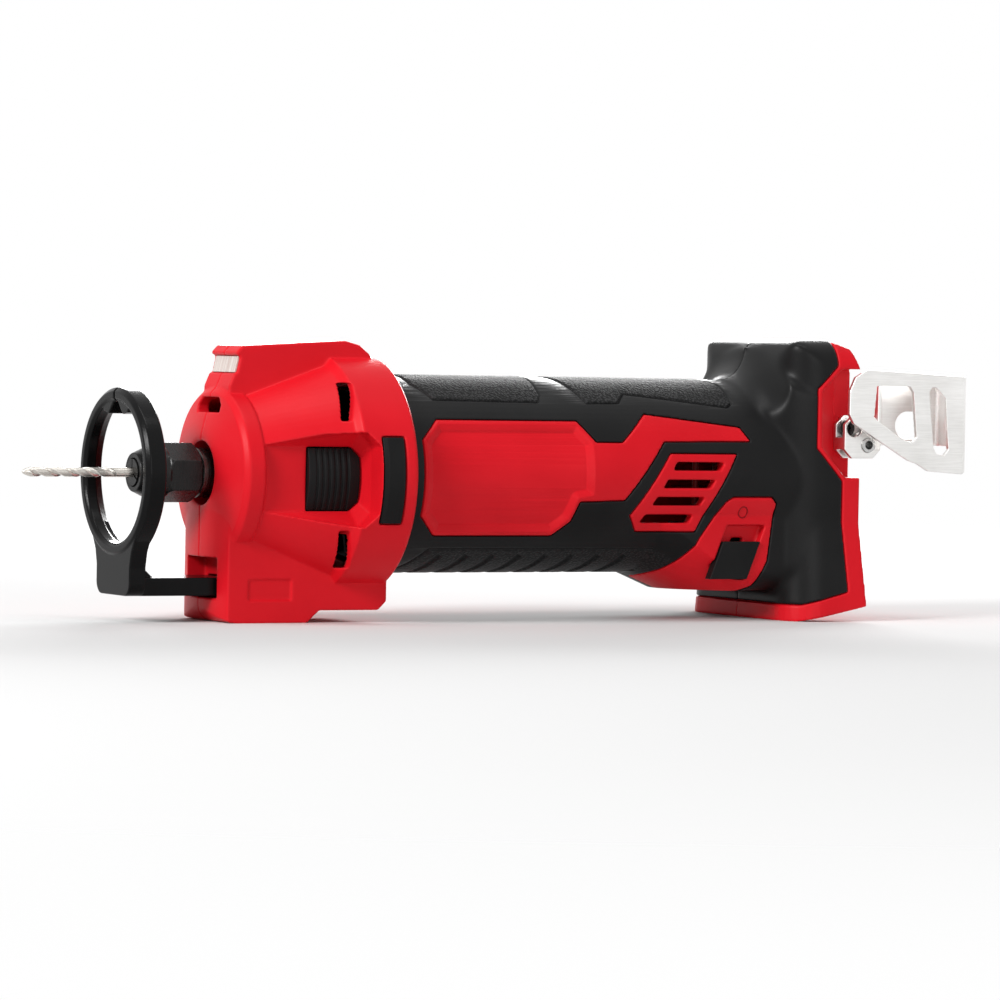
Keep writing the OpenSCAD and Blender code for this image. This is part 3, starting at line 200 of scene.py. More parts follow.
# shared finishes as node groups, each with a Vector input besides those named
def shaderGroup(name, inputs, outputs):
    group = bpy.data.node_groups.new(name, "ShaderNodeTree")
    face = group.interface
    face.new_socket(name="Vector", in_out="INPUT", socket_type="NodeSocketVector")
    for title, value in inputs.items():
        kind = "NodeSocketVector" if isinstance(value, tuple) else "NodeSocketFloat"
        face.new_socket(name=title, in_out="INPUT", socket_type=kind).default_value = value
    for title in outputs:
        face.new_socket(name=title, in_out="OUTPUT", socket_type="NodeSocketFloat")
    return group, group.nodes.new("NodeGroupInput").outputs, group.nodes.new("NodeGroupOutput").inputs


def noiseNode(tree, vector, scale, detail=2.0, rough=0.5):
    noise = tree.nodes.new("ShaderNodeTexNoise")
    setInputs(noise, {"Detail": detail, "Roughness": rough})
    link(tree, vector, noise.inputs["Vector"])
    if isinstance(scale, (int, float)):
        noise.inputs["Scale"].default_value = scale
    else:
        link(tree, scale, noise.inputs["Scale"])
    return noise.outputs["Fac"]


def makeMouldGrain():
    group, start, end = shaderGroup("mouldGrain", {"Scale": 2500.0, "Patch": 40.0}, ["Height", "Tone"])
    link(group, noiseNode(group, start["Vector"], start["Scale"], detail=3.0, rough=0.6), end["Height"])
    link(group, noiseNode(group, start["Vector"], start["Patch"]), end["Tone"])
    return group


# edge mask: rounded edges take a lighter colour, partly as wear and partly as a painted highlight along the edges
def makeEdgeWearAndSheen():
    group, start, end = shaderGroup("edgeWearAndSheen", {"Scale": 350.0, "Amount": 0.5}, ["Mask"])
    edge = group.nodes.new("ShaderNodeAttribute")
    edge.attribute_name = "edge"
    contrast, offset = 2.2, -0.6
    patches = noiseNode(group, start["Vector"], start["Scale"], detail=3.0)
    broken = mathNode(group, "MULTIPLY_ADD", patches, contrast, offset, clamp=True)
    mask = mathNode(group, "MULTIPLY", edge.outputs["Fac"], broken)
    link(group, mathNode(group, "MULTIPLY", mask, start["Amount"], clamp=True), end["Mask"])
    return group


def makeBrushLines():
    group, start, end = shaderGroup(
        "brushLines", {"Stretch": (1.0, 1.0, 1.0), "Scale": 900.0}, ["Lines", "Cloud"])
    stretched = group.nodes.new("ShaderNodeVectorMath")
    stretched.operation = "MULTIPLY"
    link(group, start["Vector"], stretched.inputs[0])
    link(group, start["Stretch"], stretched.inputs[1])
    lines = noiseNode(group, stretched.outputs["Vector"], start["Scale"], detail=4.0, rough=0.65)
    link(group, lines, end["Lines"])
    link(group, noiseNode(group, start["Vector"], scale=60.0), end["Cloud"])
    return group


mouldGrain, edgeWearAndSheen, brushLines = makeMouldGrain(), makeEdgeWearAndSheen(), makeBrushLines()
noiseSpan, mixSpan = (0.3, 0.7), (0.35, 0.65)     # where most of a noise lies


def startMaterial(name, **fixed):
    paint = bpy.data.materials.new(name)
    paint.use_nodes = True
    tree = paint.node_tree
    skin = setInputs(tree.nodes["Principled BSDF"], fixed)
    return paint, tree, skin, tree.nodes.new("ShaderNodeTexCoord").outputs["Object"]


def placeGroup(tree, group, vector, **values):
    node = tree.nodes.new("ShaderNodeGroup")
    node.node_tree = group
    link(tree, vector, node.inputs["Vector"])
    return setInputs(node, values).outputs


def mixColour(tree, share, first, second):
    node = tree.nodes.new("ShaderNodeMix")
    node.data_type = "RGBA"
    link(tree, share, node.inputs["Factor"])
    for title, value in (("A", first), ("B", second)):
        socket = [s for s in node.inputs if s.name == title and s.type == "RGBA"][0]
        if isinstance(value, tuple):
            socket.default_value = (*value, 1)
        else:
            link(tree, value, socket)
    return [s for s in node.outputs if s.type == "RGBA"][0]


def addBump(tree, skin, height, depth):
    bump = setInputs(tree.nodes.new("ShaderNodeBump"), {"Distance": depth, "Strength": 1.0})
    link(tree, height, bump.inputs["Height"])
    link(tree, bump.outputs["Normal"], skin.inputs["Normal"])


def finishSkin(tree, skin, place, look, share, grain):
    wearAndSheen = placeGroup(tree, edgeWearAndSheen, place, Amount=look["wearAndSheen"])
    colour = mixColour(tree, share, look["deep"], look["bright"])
    # lighter colour on rounded edges: part wear, part painted edge highlight
    link(tree, mixColour(tree, wearAndSheen["Mask"], colour, look["wornAndSheen"]), skin.inputs["Base Color"])
    link(tree, spread(tree, grain, *look["rough"], *noiseSpan), skin.inputs["Roughness"])
    addBump(tree, skin, grain, look["depth"])


def mouldedPlastic(name, look):
    paint, tree, skin, place = startMaterial(name, Specular_IOR_Level=look["specular"])
    grain = placeGroup(tree, mouldGrain, place, Scale=look["grain"], Patch=look["patch"])
    share = spread(tree, grain["Tone"], 0, 1, *noiseSpan)
    finishSkin(tree, skin, place, look, share, grain["Height"])
    return paint


def metalFinish(name, look):
    paint, tree, skin, place = startMaterial(name, Metallic=look["metal"])
    brush = placeGroup(tree, brushLines, place, Stretch=look["stretch"], Scale=look["scale"])
    half = mathNode(tree, "MULTIPLY", brush["Lines"], 0.5)
    mean = mathNode(tree, "MULTIPLY_ADD", brush["Cloud"], 0.5, half)
    finishSkin(tree, skin, place, look, spread(tree, mean, 0, 1, *mixSpan), brush["Lines"])
    return paint


# the lighter edge colour of each look goes on rounded edges: part wear, part painted edge highlight
plasticLooks = {
    "redMoulding": {
        "deep": (0.62, 0.006, 0.0135), "bright": (0.69, 0.0085, 0.0175), "wornAndSheen": (0.76, 0.045, 0.05),
        "rough": (0.34, 0.46), "grain": 2600.0, "patch": 38.0, "depth": 0.00003, "specular": 0.13, "wearAndSheen": 0.35},
    # darkened red for the off mark: painted shade of the raised ring
    "markShadedRed": {
        "deep": (0.21, 0.003, 0.006), "bright": (0.26, 0.004, 0.008), "wornAndSheen": (0.4, 0.02, 0.024),
        "rough": (0.4, 0.52), "grain": 2600.0, "patch": 38.0, "depth": 0.00002, "specular": 0.1, "wearAndSheen": 0.2},
    "blackMoulding": {
        "deep": (0.005, 0.005, 0.0052), "bright": (0.009, 0.009, 0.0092), "wornAndSheen": (0.045, 0.045, 0.046),
        "rough": (0.34, 0.48), "grain": 3200.0, "patch": 60.0, "depth": 0.00002, "specular": 0.11, "wearAndSheen": 0.45},
    "guideMoulding": {
        "deep": (0.0025, 0.0025, 0.0026), "bright": (0.005, 0.005, 0.0052), "wornAndSheen": (0.05, 0.05, 0.051),
        "rough": (0.16, 0.26), "grain": 1800.0, "patch": 55.0, "depth": 0.000008, "specular": 0.1, "wearAndSheen": 0.45},
    "brushCarbon": {
        "deep": (0.02, 0.02, 0.02), "bright": (0.05, 0.05, 0.05), "wornAndSheen": (0.09, 0.09, 0.09),
        "rough": (0.6, 0.8), "grain": 4200.0, "patch": 300.0, "depth": 0.00003, "specular": 0.2, "wearAndSheen": 0.3},
    "leadSheath": {
        "deep": (0.3, 0.018, 0.018), "bright": (0.38, 0.03, 0.028), "wornAndSheen": (0.45, 0.06, 0.06),
        "rough": (0.4, 0.55), "grain": 1500.0, "patch": 120.0, "depth": 0.00002, "specular": 0.3, "wearAndSheen": 0.2},
}
metalLooks = {
    "bitSteel": {
        "deep": (0.5, 0.47, 0.43), "bright": (0.72, 0.69, 0.64), "wornAndSheen": (0.85, 0.83, 0.8), "metal": 1.0,
        "rough": (0.22, 0.38), "stretch": (0.15, 1.0, 1.0), "scale": 5200.0, "depth": 0.000006, "wearAndSheen": 0.6},
    "turnedSteel": {
        "deep": (0.45, 0.45, 0.445), "bright": (0.62, 0.62, 0.61), "wornAndSheen": (0.75, 0.75, 0.74), "metal": 1.0,
        "rough": (0.2, 0.36), "stretch": (1.0, 0.06, 0.06), "scale": 3600.0, "depth": 0.000005, "wearAndSheen": 0.5},
    "burnishedSteel": {
        "deep": (0.05, 0.048, 0.047), "bright": (0.13, 0.125, 0.12), "wornAndSheen": (0.55, 0.54, 0.52), "metal": 1.0,
        "rough": (0.2, 0.32), "stretch": (1.0, 0.06, 0.06), "scale": 3600.0, "depth": 0.000005, "wearAndSheen": 0.7},
    "stampedSteel": {
        "deep": (0.74, 0.73, 0.71), "bright": (0.9, 0.89, 0.875), "wornAndSheen": (0.9, 0.9, 0.89), "metal": 1.0,
        "rough": (0.28, 0.4), "stretch": (0.05, 1.0, 1.0), "scale": 2400.0, "depth": 0.000004, "wearAndSheen": 0.6},
    "blackOxide": {
        "deep": (0.006, 0.006, 0.0063), "bright": (0.015, 0.0148, 0.0145), "wornAndSheen": (0.16, 0.155, 0.15), "metal": 0.6,
        "rough": (0.22, 0.36), "stretch": (1.0, 0.1, 0.1), "scale": 3000.0, "depth": 0.000006, "wearAndSheen": 0.55},
    "zincPlate": {
        "deep": (0.34, 0.35, 0.36), "bright": (0.46, 0.47, 0.48), "wornAndSheen": (0.6, 0.6, 0.6), "metal": 1.0,
        "rough": (0.3, 0.45), "stretch": (0.1, 1.0, 1.0), "scale": 1800.0, "depth": 0.000006, "wearAndSheen": 0.3},
    "stackIron": {
        "deep": (0.05, 0.05, 0.053), "bright": (0.11, 0.11, 0.115), "wornAndSheen": (0.2, 0.2, 0.2), "metal": 0.8,
        "rough": (0.45, 0.65), "stretch": (1.0, 0.02, 0.02), "scale": 2600.0, "depth": 0.00003, "wearAndSheen": 0.3},
    "terminalBrass": {
        "deep": (0.58, 0.43, 0.2), "bright": (0.74, 0.58, 0.31), "wornAndSheen": (0.85, 0.72, 0.45), "metal": 1.0,
        "rough": (0.22, 0.36), "stretch": (1.0, 1.0, 0.08), "scale": 3000.0, "depth": 0.000005, "wearAndSheen": 0.4},
    "coilCopper": {
        "deep": (0.4, 0.15, 0.055), "bright": (0.62, 0.28, 0.12), "wornAndSheen": (0.75, 0.42, 0.22), "metal": 1.0,
        "rough": (0.25, 0.4), "stretch": (1.0, 0.05, 0.05), "scale": 2200.0, "depth": 0.00004, "wearAndSheen": 0.3},
}
paints = {name: mouldedPlastic(name, look) for name, look in plasticLooks.items()}
paints.update({name: metalFinish(name, look) for name, look in metalLooks.items()})

gripLook = {
    "smooth": (0.004, 0.004, 0.0042), "soft": (0.007, 0.007, 0.0072), "wornAndSheen": (0.045, 0.045, 0.046),
    "padLow": (0.006, 0.006, 0.0062), "beadHighlight": (0.052, 0.052, 0.053), "specular": 0.14, "wearAndSheen": 0.4,
    "grain": 3400.0, "patch": 45.0, "rough": (0.31, 0.41), "padRough": 0.28, "fine": 0.09,
    "stipple": 1250.0, "blur": 0.35, "beadSpan": (0.05, 0.75), "beadPower": 1.6, "depth": 0.00026,
}


def gripRubber(look):     # smooth rubber, with beads where padMask is set; the bead tops carry a painted highlight
    paint, tree, skin, place = startMaterial("gripRubber", Specular_IOR_Level=look["specular"])
    grain = placeGroup(tree, mouldGrain, place, Scale=look["grain"], Patch=look["patch"])
    wearAndSheen = placeGroup(tree, edgeWearAndSheen, place, Amount=look["wearAndSheen"])
    pads = tree.nodes.new("ShaderNodeAttribute")
    pads.attribute_name = "padMask"
    mask = pads.outputs["Fac"]
    pebble = tree.nodes.new("ShaderNodeTexVoronoi")
    pebble.feature = "SMOOTH_F1"
    setInputs(pebble, {"Scale": look["stipple"], "Smoothness": look["blur"]})
    link(tree, place, pebble.inputs["Vector"])
    bead = spread(tree, pebble.outputs["Distance"], 1, 0, *look["beadSpan"])
    smooth = mixColour(tree, spread(tree, grain["Tone"], 0, 1, *noiseSpan), look["smooth"], look["soft"])
    # lighter colour on rounded edges: part wear, part painted edge highlight
    smooth = mixColour(tree, wearAndSheen["Mask"], smooth, look["wornAndSheen"])
    # bead tops are painted lighter than the pad: a painted highlight on the stipple, also on the ribbed pad at part
    # share
    beadGlint = mixColour(tree, mathNode(tree, "POWER", bead, look["beadPower"]), look["padLow"], look["beadHighlight"])
    link(tree, mixColour(tree, mask, smooth, beadGlint), skin.inputs["Base Color"])
    gloss = spread(tree, grain["Height"], *look["rough"], *noiseSpan)
    link(tree, mathNode(tree, "MULTIPLY_ADD", mask, look["padRough"], gloss), skin.inputs["Roughness"])
    fine = mathNode(tree, "MULTIPLY", grain["Height"], look["fine"])
    addBump(tree, skin, mathNode(tree, "MULTIPLY_ADD", mask, bead, fine), look["depth"])
    return paint


lensLook = {
    "pale": (0.84, 0.77, 0.72), "warm": (0.62, 0.5, 0.45), "clear": 0.12, "index": 1.49,
    "stretch": (0.02, 1.0, 0.02), "scale": 700.0, "rough": (0.12, 0.34), "depth": 0.00012,
}


def clearLens(look):
    paint, tree, skin, place = startMaterial("clearLens", Transmission_Weight=look["clear"], IOR=look["index"])
    ribs = placeGroup(tree, brushLines, place, Stretch=look["stretch"], Scale=look["scale"])["Lines"]
    colour = mixColour(tree, spread(tree, ribs, 0, 1, *mixSpan), look["pale"], look["warm"])
    link(tree, colour, skin.inputs["Base Color"])
    link(tree, spread(tree, ribs, *look["rough"], *noiseSpan), skin.inputs["Roughness"])
    addBump(tree, skin, ribs, look["depth"])
    return paint


boardLook = {
    "tracks": {"Color1": (0.012, 0.085, 0.03), "Color2": (0.016, 0.11, 0.04), "Mortar": (0.03, 0.2, 0.08)},
    "stain": (0.01, 0.06, 0.022), "stainShare": 0.5, "stainSpan": (0.3, 0.8), "scale": 180.0,
    "grain": 2000.0, "patch": 200.0, "rough": (0.3, 0.45), "depth": 0.00003, "specular": 0.4,
}


def circuitBoard(look):
    paint, tree, skin, place = startMaterial("circuitBoard", Specular_IOR_Level=look["specular"])
    tracks = tree.nodes.new("ShaderNodeTexBrick")
    setInputs(tracks, {"Scale": look["scale"]})
    setInputs(tracks, {title: (*tone, 1) for title, tone in look["tracks"].items()})
    link(tree, place, tracks.inputs["Vector"])
    grain = placeGroup(tree, mouldGrain, place, Scale=look["grain"], Patch=look["patch"])
    stain = spread(tree, grain["Tone"], 0, look["stainShare"], *look["stainSpan"])
    link(tree, mixColour(tree, stain, tracks.outputs["Color"], look["stain"]), skin.inputs["Base Color"])
    link(tree, spread(tree, grain["Height"], *look["rough"], *noiseSpan), skin.inputs["Roughness"])
    addBump(tree, skin, tracks.outputs["Fac"], look["depth"])
    return paint


paints["gripRubber"] = gripRubber(gripLook)
paints["clearLens"] = clearLens(lensLook)
paints["circuitBoard"] = circuitBoard(boardLook)
print("finishes ready,", len(paints))


# reading and changing meshes, as rows of points
def readVectors(items, field):
    flat = np.zeros(len(items) * 3, np.float32)
    items.foreach_get(field, flat)
    return flat.reshape(-1, 3).astype(float)


def readPoints(mesh):
    return readVectors(mesh.vertices, "co")


def readNormals(mesh):
    return readVectors(mesh.vertex_normals, "vector")


def fromRim(mesh):
    return readPoints(mesh) / mm - rim


def readPairs(mesh):
    pairs = np.zeros(len(mesh.edges) * 2, np.int32)
    mesh.edges.foreach_get("vertices", pairs)
    return pairs.reshape(-1, 2)


def writePoints(mesh, points):
    mesh.vertices.foreach_set("co", points.astype(np.float32).ravel())
    mesh.update()


def writeValues(mesh, name, values, kind="FLOAT"):
    layer = mesh.attributes.get(name) or mesh.attributes.new(name, kind, "POINT")
    field = "vector" if kind == "FLOAT_VECTOR" else "value"
    layer.data.foreach_set(field, np.asarray(values, np.float32).ravel())


def bakeModifiers(piece):
    seen = piece.evaluated_get(bpy.context.evaluated_depsgraph_get())
    mesh = bpy.data.meshes.new_from_object(seen)
    piece.modifiers.clear()
    old, piece.data = piece.data, mesh
    bpy.data.meshes.remove(old)
    mesh.name = piece.name
    return mesh


def markEdges(mesh, low=0.05, high=0.32):     # the mean lean of a point's neighbours, for edge wear and a painted edge highlight
    points, normals, pairs = readPoints(mesh), readNormals(mesh), readPairs(mesh)
    total, hits = np.zeros(len(points)), np.zeros(len(points))
    for a, b in ((0, 1), (1, 0)):
        way = points[pairs[:, b]] - points[pairs[:, a]]
        lean = (way * normals[pairs[:, a]]).sum(1) / np.maximum(np.linalg.norm(way, axis=1), 1e-9)
        np.add.at(total, pairs[:, a], -lean)
        np.add.at(hits, pairs[:, a], 1)
    bend = total / np.maximum(hits, 1)
    writeValues(mesh, "edge", np.clip((bend - low) / (high - low), 0, 1))


def relax(mesh, weight, passes):     # evens out creases where the weight says so
    points, pairs, count = readPoints(mesh), readPairs(mesh), len(mesh.vertices)
    moving = weight > 0
    pairs = pairs[moving[pairs[:, 0]] | moving[pairs[:, 1]]]
    both = np.concatenate((pairs[:, 0], pairs[:, 1]))
    other = np.concatenate((pairs[:, 1], pairs[:, 0]))
    hits = np.maximum(np.bincount(both, minlength=count), 1)
    for _ in range(passes):
        mean = np.stack([np.bincount(both, points[other, i], count) for i in range(3)], 1) / hits[:, None]
        points += np.where(moving, weight, 0)[:, None] * 0.5 * (mean - points)
    writePoints(mesh, points)


def insideBy(px, py, outline):     # distance inside an outline, minus outside
    best, inside = np.full(len(px), 1e9), np.zeros(len(px), bool)
    for (ax, ay), (bx, by) in zip(outline, outline[1:] + outline[:1]):
        ex, ey = bx - ax, by - ay
        t = np.clip(((px - ax) * ex + (py - ay) * ey) / max(ex * ex + ey * ey, 1e-9), 0, 1)
        best = np.minimum(best, np.hypot(px - ax - t * ex, py - ay - t * ey))
        inside ^= ((ay > py) != (by > py)) & (px < ax + (py - ay) * ex / (ey if abs(ey) > 1e-9 else 1e-9))
    return np.where(inside, best, -best)


def scaleRound(p, scale):     # moves points out from the spindle axis or in
    p[:, 1] *= scale
    p[:, 2] *= scale
    return p


# rounding of moulded and pressed pieces
def mergedCopy(name, title):
    mesh = nodes[name].data.copy()
    reshape(mesh, lambda shape: bmesh.ops.remove_doubles(shape, verts=shape.verts, dist=1e-6))
    mesh.name = title
    return placed(title, mesh)


def fillIn(mesh, plugs, side):     # adds balls under a skin that runs out too thin
    def addBalls(shape):
        for x, y, z, r in plugs:
            spot = Matrix.Translation(atRim(x, side * y, z))
            bmesh.ops.create_icosphere(shape, subdivisions=3, radius=r * mm, matrix=spot)
    reshape(mesh, addBalls)


def refine(piece, look, sculpt, mask, soften):
    if "plugs" in look:
        fillIn(piece.data, look["plugs"], look["side"])
    grid = piece.modifiers.new("grid", "REMESH")
    grid.mode, grid.voxel_size = "VOXEL", look["voxel"] * mm
    ease = piece.modifiers.new("ease", "SMOOTH")
    ease.factor, ease.iterations = 0.5, look["passes"]
    mesh = bakeModifiers(piece)
    if soften:
        weight = soften(fromRim(mesh))
        relax(mesh, weight, look["soften"])
        if "tuck" in look:
            inward = readNormals(mesh) * weight[:, None] * look["tuck"] * mm
            writePoints(mesh, readPoints(mesh) - inward)
    if sculpt:
        writePoints(mesh, (sculpt(fromRim(mesh)) + rim) * mm)
    faces = sum(len(p.vertices) - 2 for p in mesh.polygons)
    if faces > look["keep"]:
        thin = piece.modifiers.new("thin", "DECIMATE")
        thin.ratio = look["keep"] / faces
        mesh = bakeModifiers(piece)
    mesh.polygons.foreach_set("use_smooth", [True] * len(mesh.polygons))
    markEdges(mesh)
    if mask:
        writeValues(mesh, "padMask", mask(fromRim(mesh)))


def dress(piece, paint):
    piece.data.materials.clear()
    piece.data.materials.append(paints[paint])
    piece.data.polygons.foreach_set("material_index", [0] * len(piece.data.polygons))


def roundedPiece(node, look, body="housing", sculpt=None, mask=None, soften=None):
    piece = mergedCopy(node, look["title"])
    refine(piece, look, sculpt, mask, soften)
    dress(piece, look["paint"])
    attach(piece, body)
    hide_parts(node)
    print("rounded", node, len(piece.data.polygons))


# grip: stippled pads on top and a ribbed pad below, drawn along x and round from the middle plane
gripPads = {
    "radius": 33.0, "groove": 0.8, "grooveHalf": 0.6, "raise": 0.2, "ramp": 0.8,
    "skin": (32.25, 33.3), "until": 192, "maskRamp": 0.5, "ribbedShare": 0.45,
    "front": [(65.4, -20), (65.4, 5.4), (65.8, 13.9), (70.5, 23.3), (109.7, 23.9), (111.5, 20.4), (113.4, 5.8),
              (113.4, -20)],
    "rear": [(121.5, -20), (121.5, 2.6), (127.9, 24.1), (140.3, 23.8), (144.1, 18.8), (182.1, 25.3), (184.6, 23.3),
             (185.1, 11.5), (182.0, 3.6), (182.0, -20)],
    "ribbed": [(60.5, -20), (60.5, 7), (69.5, 24.6), (159.5, 24.6), (163, 21.6), (160.4, 17.6), (154, 8.2),
               (147, 1), (147, -20)],
}


def padDistance(p):
    size = gripPads["radius"]
    up = np.arctan2(np.abs(p[:, 1]), p[:, 2]) * size
    down = np.arctan2(np.abs(p[:, 1]), -p[:, 2]) * size
    top = np.maximum(insideBy(p[:, 0], up, gripPads["front"]), insideBy(p[:, 0], up, gripPads["rear"]))
    return top, insideBy(p[:, 0], down, gripPads["ribbed"])


def sculptGrip(p):
    r, (inner, outer) = np.hypot(p[:, 1], p[:, 2]), gripPads["skin"]
    picked = (r > inner) & (r < outer) & (p[:, 0] < gripPads["until"])
    top, low = padDistance(p)
    half = gripPads["grooveHalf"]
    line = np.maximum(np.clip(1 - np.abs(top) / half, 0, 1), np.clip(1 - np.abs(low) / half, 0, 1))
    shift = gripPads["raise"] * np.clip(top / gripPads["ramp"], 0, 1) - gripPads["groove"] * line
    return scaleRound(p, np.where(picked, (r + shift) / r, 1.0))


def maskGrip(p):
    r = np.hypot(p[:, 1], p[:, 2])
    shown = (r > gripPads["skin"][0]) & (p[:, 0] < gripPads["until"])
    top, low = (np.clip(d / gripPads["maskRamp"], 0, 1) for d in padDistance(p))
    return np.where(shown, np.maximum(top, gripPads["ribbedShare"] * low), 0.0)


# foot: creases of the overmould and the core under it are evened out, clear of the red rim and bezel
footShape = {
    "from": 188.0, "full": 194.0, "clear": 0.9, "reach": 3.0, "seam": 0.5, "far": 9.0,
    "rim": [(217.5, 100), (219, 38.5), (211.3, 30.5), (211.3, 10.5), (221.3, -0.5), (221.3, -15), (223, -38.5),
            (206, -43), (192, -43), (192, -100), (238, -100), (238, 100)],
    "bezel": [(157.5, -33.6), (161, -31.2), (164, -27.3), (168, -20.5), (177.5, -8), (180, -6.5), (195, -6.5),
              (197, -8.5), (194.5, -28), (190, -36.5), (184, -39.5), (157.5, -39.5)],
}


def softFoot(p):
    x, z = p[:, 0], p[:, 2]
    away = -insideBy(x, z, footShape["rim"])
    bezel = np.where(p[:, 1] < 0, -insideBy(x, z, footShape["bezel"]), footShape["far"])
    weight = np.clip((x - footShape["from"]) / (footShape["full"] - footShape["from"]), 0, 1)
    weight *= np.clip((np.minimum(away, bezel) - footShape["clear"]) / footShape["reach"], 0, 1)
    return weight * (np.abs(p[:, 1]) > footShape["seam"])


# handle shell: the panel's middle is sunk behind a sloped border
panelShape = {
    "outline": [(69, -19.5), (113, -19.5), (118.7, -14.7), (121, -8), (127, -7), (127, 12), (121.5, 18.5), (69, 18.5),
                (62.5, 12), (62.5, -13)],
    "radius": 33.0, "flat": 1.2, "slope": 2.3, "depth": 1.5, "inset": 0.6, "skin": 31.7, "aside": 18,
}


def sculptShell(p):
    r = np.hypot(p[:, 1], p[:, 2])
    inside = insideBy(p[:, 0], p[:, 2], panelShape["outline"])
    picked = (inside > panelShape["inset"]) & (r > panelShape["skin"]) & (np.abs(p[:, 1]) > panelShape["aside"])
    sunk = panelShape["depth"] * np.clip((inside - panelShape["flat"]) / panelShape["slope"], 0, 1)
    return scaleRound(p, np.where(picked, (panelShape["radius"] - sunk) / r, 1.0))


noseLook = {"voxel": 0.36, "passes": 7, "keep": 150000, "paint": "redMoulding", "slot": "red_plastic"}
shellLook = {"voxel": 0.4, "passes": 5, "keep": 130000, "soften": 60, "tuck": 0.7,
             "paint": "redMoulding", "slot": "red_plastic"}
gripPieceLook = {"voxel": 0.34, "passes": 5, "keep": 170000, "soften": 80,
                 "paint": "gripRubber", "slot": "soft_black",
                 "plugs": [(205.8, 28.0, 33.1, 2.6), (206.9, 29.0, 31.9, 2.6), (207.8, 29.6, 31.0, 2.6)]}
for side in ("left", "right"):
    tail = side.capitalize()
    roundedPiece("nose_" + side, {**noseLook, "title": "nose" + tail})
    roundedPiece("shell_" + side, {**shellLook, "title": "shell" + tail}, sculpt=sculptShell, soften=softFoot)
    roundedPiece("grip_" + side, {**gripPieceLook, "title": "grip" + tail, "side": -1 if side == "left" else 1},
                 sculpt=sculptGrip, mask=maskGrip, soften=softFoot)

blackPart = {"voxel": 0.17, "passes": 4, "keep": 50000, "paint": "blackMoulding", "slot": "black_plastic"}
collarPad = {**blackPart, "keep": 30000, "slot": "soft_black", "body": "housing"}
steelPlate = {"passes": 2, "paint": "stampedSteel", "slot": "stamped_steel"}
smallLooks = {
    "depth_guide": {"title": "depthGuide", "body": "guide", "voxel": 0.22, "passes": 6, "keep": 110000,
                    "paint": "guideMoulding", "slot": "guide_black"},
    "lock_button": {**blackPart, "title": "lockButton", "body": "lock", "passes": 3, "keep": 60000},
    "switch_slider": {**blackPart, "title": "switchSlider", "body": "switch"},
    "clamp_screw": {**blackPart, "title": "clampScrew", "body": "clamp"},
    "collar_pad_left": {**collarPad, "title": "collarPadLeft"},
    "collar_pad_right": {**collarPad, "title": "collarPadRight"},
    "collet_nut": {"title": "colletNut", "body": "rotor", "voxel": 0.17, "passes": 3, "keep": 70000,
                   "paint": "blackOxide", "slot": "dark_steel"},
    "hook": {**steelPlate, "title": "hookPlate", "body": "hook", "voxel": 0.22, "keep": 110000},
    "hook_bracket": {**steelPlate, "title": "hookBracket", "body": "housing", "voxel": 0.2, "keep": 50000},
    "lamp_lens": {"title": "lampLens", "body": "housing", "voxel": 0.15, "passes": 2, "keep": 30000,
                  "paint": "clearLens", "slot": "clear_lens"},
    "terminal_block": {**blackPart, "title": "terminalBlock", "body": "housing", "voxel": 0.25, "passes": 2,
                       "keep": 30000},
}
for node, look in smallLooks.items():
    roundedPiece(node, look, look["body"])


# pieces grown by geometry nodes
def growTree(name, sizes, places=()):
    tree = bpy.data.node_groups.new(name, "GeometryNodeTree")
    face = tree.interface
    face.new_socket(name="Geometry", in_out="INPUT", socket_type="NodeSocketGeometry")
    for titles, kind in ((sizes, "NodeSocketFloat"), (places, "NodeSocketVector")):
        for title in titles:
            face.new_socket(name=title, in_out="INPUT", socket_type=kind)
    face.new_socket(name="Finish", in_out="INPUT", socket_type="NodeSocketMaterial")
    face.new_socket(name="Geometry", in_out="OUTPUT", socket_type="NodeSocketGeometry")
    return tree, tree.nodes.new("NodeGroupInput").outputs, tree.nodes.new("NodeGroupOutput").inputs


def calculator(tree):
    def calc(operation, *values, clamp=False):
        return mathNode(tree, operation, *values, clamp=clamp)
    return calc


def step(tree, kind, links, **fixed):
    node = setInputs(tree.nodes.new(kind), fixed)
    for title, source in links.items():
        link(tree, source, node.inputs[title])
    return node.outputs[0]


def pointParts(tree):
    split = tree.nodes.new("ShaderNodeSeparateXYZ")
    link(tree, tree.nodes.new("GeometryNodeInputPosition").outputs[0], split.inputs[0])
    return split.outputs


def closeTree(tree, shape, start, end):
    shape = step(tree, "GeometryNodeRealizeInstances", {"Geometry": shape})
    shape = step(tree, "GeometryNodeSetMaterial", {"Geometry": shape, "Material": start["Finish"]})
    link(tree, shape, end["Geometry"])
    return tree


def grow(title, tree, values, seed=None):
    piece = placed(title, seed or bpy.data.meshes.new(title))
    maker = piece.modifiers.new("maker", "NODES")
    maker.node_group = tree
    for item in tree.interface.items_tree:
        if item.in_out == "INPUT" and item.name in values:
            maker[item.identifier] = values[item.name]
    mesh = bakeModifiers(piece)
    reshape(mesh, lambda shape: bmesh.ops.recalc_face_normals(shape, faces=shape.faces))
    markEdges(mesh)
    print("grown", title, len(mesh.polygons))
    return piece


# cutting bit: a unit grid rolled round the axis, with flutes that run in quickly and out slowly
bitForm = {"runIn": 700.0, "runOut": 260.0, "flutes": 2.0, "wavePower": 1.7, "point": 330.0, "pointPower": 0.45,
           "close": 5000.0, "merge": 0.000002}
bitShape = {
    "Tip": atRim(-66.5, 0, 0)[0], "End": atRim(-13, 0, 0)[0],
    "Flute Start": atRim(-63, 0, 0)[0], "Flute End": atRim(-34, 0, 0)[0],
    "Radius": 1.5875 * mm, "Turns": 2.1, "Depth": 0.42, "Height": rim[2] * mm, "Finish": paints["bitSteel"],
}


